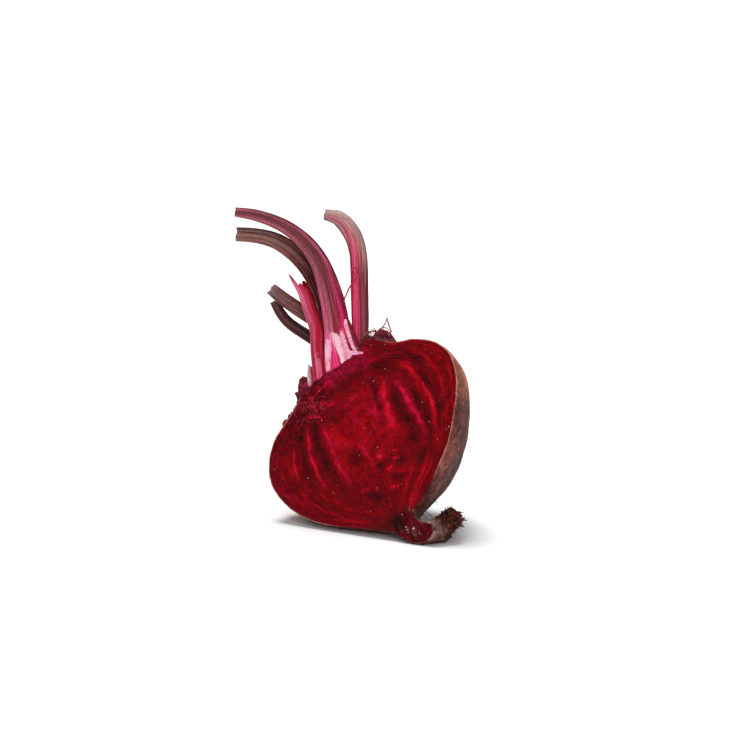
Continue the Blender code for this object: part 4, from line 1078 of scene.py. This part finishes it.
# Where the knife ran out of the stalks it left pale strands standing: wet, pink and white
sliced_strand = plain_rind("sliced_strand", "E07CA4", "F4BCCC", 0.35)
threads("crown_pale_strands", "pale_stalk", sliced_strand, PALE_STRANDS, 0.5)
# The youngest stalks were cut off while still thin, and stand dark and juicy between the others
young_rind = plain_rind("dark_crimson_rind", "5A0A18", "A01434", 0.4)
threads("crown_young_stalks", "bright_stalk", young_rind, YOUNG_STALKS, 0.3)
# Live red shoots are smooth and translucent crimson
shoot = plain_rind("crimson_shoot", "7A0A22", "C02850", 0.4)
threads("crown_red_shoots", "bright_stalk", shoot, RED_SHOOTS)
# Dead leaf veins are tan and papery
dead_vein = plain_rind("dead_leaf_vein", "6A4A24", "B09058", 0.7)
threads("crown_vein_fibres", "pale_stalk", dead_vein, VEIN_FIBRES, 1.0)
# Torn vein threads lie curled on the hump and where the knife dragged through the scars: limp, dark
# crimson and dull pink
torn_vein = plain_rind("torn_crimson_vein", "5C0818", "A8283F", 0.6)
threads("crown_hump_tangle", "skin", torn_vein, curled(*HUMP_TANGLE), TANGLE_STRAY)
threads("crown_edge_tangle", "skin", torn_vein, curled(*EDGE_TANGLE), TANGLE_STRAY)

# Taproot: torn end, rootlets and hairs
# The taproot was torn off, not cut, so its end is a brown brush of shreds. Bristles line its
# underside, fine dark hairs curl where it bends up from the root, and a few thin rootlets are left.
ROOTLETS = [
    ([(18, 9.6, -42.4), (19.1, 10.9, -44), (20.4, 11.4, -44.2), (21.6, 12, -44.9)], 0.55),
    ([(18.2, 9.8, -43.6), (19.4, 10.3, -44.9), (19.4, 11.5, -46.5), (19.7, 11.8, -46.9)], 0.4),
    ([(14, 5.6, -46.5), (16.4, 7.4, -47.2), (18.6, 9, -46.8)], 0.4),
]
DARK_HAIRS = [
    ([(8.8, -0.4, -37.4), (10.4, -1.6, -38), (12.2, -1.8, -39.3), (13.8, -1.8, -40.7),
      (14.6, -0.9, -43)], 0.22),
    ([(8.8, -0.6, -38.4), (11, -1.7, -39.6), (12.4, -1.9, -41.2), (12.4, -1.2, -43.2)], 0.2),
    ([(8.6, 0.2, -36.6), (9.6, -1, -37.2), (11.6, -0.8, -37.6), (13.2, 0.4, -39)], 0.18),
    ([(13, 8.4, -31.6), (14.2, 9.3, -33.2), (14, 10.1, -34.8)], 0.2),
    ([(9.6, 2, -34.4), (10.6, 0.8, -35.6), (10.2, 0.2, -37)], 0.2),
]
TORN_END, BRISTLES_FROM, BRISTLE_CURL = 5.0, 2.2, 2.0


def patch(name, kept):
    """Mesh of the skin's outer faces whose first corner is kept, for hairs to grow on."""
    faces = np.array(quads(ROWS, COLUMNS)).reshape(ROWS - 1, COLUMNS - 1, 4)[kept[:-1, :-1]]
    mesh = bpy.data.meshes.new(name)
    used, flat = np.unique(faces, return_inverse=True)
    mesh.from_pydata(laid(outer.reshape(-1, 3)[used]).tolist(), [], flat.reshape(-1, 4).tolist())
    facing = sum((face.normal for face in mesh.polygons), Vector())
    if facing.dot(Vector(out[kept].mean(0) @ ATTITUDE.T)) < 0:
        mesh.flip_normals()
    return mesh


# A bristle is a line that stands on the skin, leans by chance, curls and thins towards its tip
bristle_tree, node, given = grower(
    "bristles", Density="Float", Length="Float", Thickness="Float", Lean="Float", Wander="Float",
    Curl_Size="Float", Seed="Int",
)
roots = node("DistributePointsOnFaces", given["Geometry"], Density=given["Density"], Seed=given["Seed"])
backward = node("Math", given["Lean"], -1.0, operation="MULTIPLY")
tilt = node("RandomValue", backward, given["Lean"], data_type="FLOAT_VECTOR", Seed=given["Seed"])
turned = node("RotateRotation", roots.node.outputs["Rotation"],
              node("EulerToRotation", tilt), rotation_space="LOCAL")
reach = node("RandomValue", 0.35, 1.0, data_type="FLOAT", Seed=given["Seed"])
long = node("Math", reach, given["Length"], operation="MULTIPLY")
line = node("CurvePrimitiveLine", Start=(0.0, 0.0, -0.15), End=(0.0, 0.0, 1.0))
even = node("ResampleCurve", line, Count=7)
placed = node("InstanceOnPoints", roots, Instance=even, Rotation=turned, Scale=long)
real = node("RealizeInstances", placed)
along = node("SplineParameter", out="Factor")
swing = node("Math", given["Wander"], along, operation="MULTIPLY")
taper = node("MapRange", along, To_Min=1.0, To_Max=0.25)
half_thick = node("Math", given["Thickness"], 0.5, operation="MULTIPLY")
thick = node("Math", taper, half_thick, operation="MULTIPLY")
tubes(node, shaken(node, real, given["Curl Size"], swing), 4, thick, given["Material"])

# Dead root fibre: matt, reddish brown where it is fresh, nearly black where it is dry
root_fibre = plain_rind("torn_root_fibre", "2A0F0A", "6E3826", 0.7)
dry_hair = plain_rind("dry_root_hair", "120A0A", "2E1C1A", 0.6)
torn_end = tail_place > TORN_END
beneath = (tail_place > BRISTLES_FROM) & (facing_down > 0.1)
# Bristles: how many to the mm2, length, thickness, lean in radians, how far they stray, and seed
for name, kept, per_mm2, length, thickness, lean, wander, seed in (
    ("taproot_torn_shreds", torn_end, 1.2, 1.5, 0.5, 0.9, 1.4, 3),
    ("taproot_end_hairs", torn_end, 0.4, 2.6, 0.16, 1.0, 2.2, 5),
    ("taproot_underside_bristles", beneath, 0.35, 1.2, 0.2, 0.8, 1.0, 8),
):
    grow(name, patch(name, kept), bristle_tree, "skin", Density=per_mm2 / MM ** 2, Length=length * MM,
         Thickness=thickness * MM, Lean=lean, Wander=wander * MM, Curl_Size=BRISTLE_CURL * MM, Seed=seed,
         Material=root_fibre)
threads("taproot_rootlets", "skin", root_fibre, ROOTLETS, 0.8)
threads("taproot_fine_hairs", "skin", dry_hair, DARK_HAIRS, 1.2)

# Floor, light and camera
# A pale matt floor, a broad lamp overhead, a weak one in front and an even sky; a small hard lamp
# only makes the wet places glint. The camera looks level across the floor from a little above, as
# far off as a photographer would stand with a long lens.
AIM_RIGHT, AIM_UP, DISTANCE, LENS, ELEVATION = 4.83, 23.05, 900.0, 116.2, 11.0
FLOOR_REACH, SKY_STRENGTH = 60.0, 0.32

rise = math.radians(ELEVATION)
up = np.array([0.0, math.sin(rise), math.cos(rise)])
back = np.array([0.0, -math.cos(rise), math.sin(rise)])
aim = FACE_MIDDLE + (AIM_RIGHT, 0.0, 0.0) + AIM_UP * up
camera = in_scene("camera", bpy.data.cameras.new("camera"))
camera.location = (aim + DISTANCE * back) * MM
camera.rotation_euler = (math.pi / 2 - rise, 0.0, 0.0)
camera.data.lens = LENS
camera.data.sensor_width = 36.0
camera.data.clip_start = 0.01
bpy.context.scene.camera = camera

# White studio paper: matt, with no pattern that shows from here
paper, node, _, _ = begun("white_paper")
node("Principled BSDF", Base_Color=linear("F2F2F2"), Roughness=0.95, Specular_IOR_Level=0.1)
floor = in_scene("floor", bpy.data.meshes.new("floor"))
corners = [(x * FLOOR_REACH, y * FLOOR_REACH, 0.0) for x, y in ((-1, -1), (1, -1), (1, 1), (-1, 1))]
floor.data.from_pydata(corners, [], [(0, 1, 2, 3)])
floor.data.materials.append(paper)

world = bpy.data.worlds.new("sky")
world.use_nodes = True
add_node(world.node_tree, "Background", (1.0, 1.0, 1.0, 1.0), SKY_STRENGTH)
bpy.context.scene.world = world
# Each lamp: where it shines from, how wide it looks in degrees, and its strength
for name, toward, width, strength in (
    ("overhead", (-0.1, 0.45, 1.0), 26.0, 3.2), ("front", (0.2, -1.0, 0.22), 40.0, 1.25),
    ("glint", (-0.25, -0.7, 1.0), 3.0, 0.3),
):
    lamp = in_scene(name, bpy.data.lights.new(name, "SUN"))
    lamp.data.angle = math.radians(width)
    lamp.data.energy = strength
    lamp.rotation_euler = Vector(toward).to_track_quat("Z", "Y").to_euler()
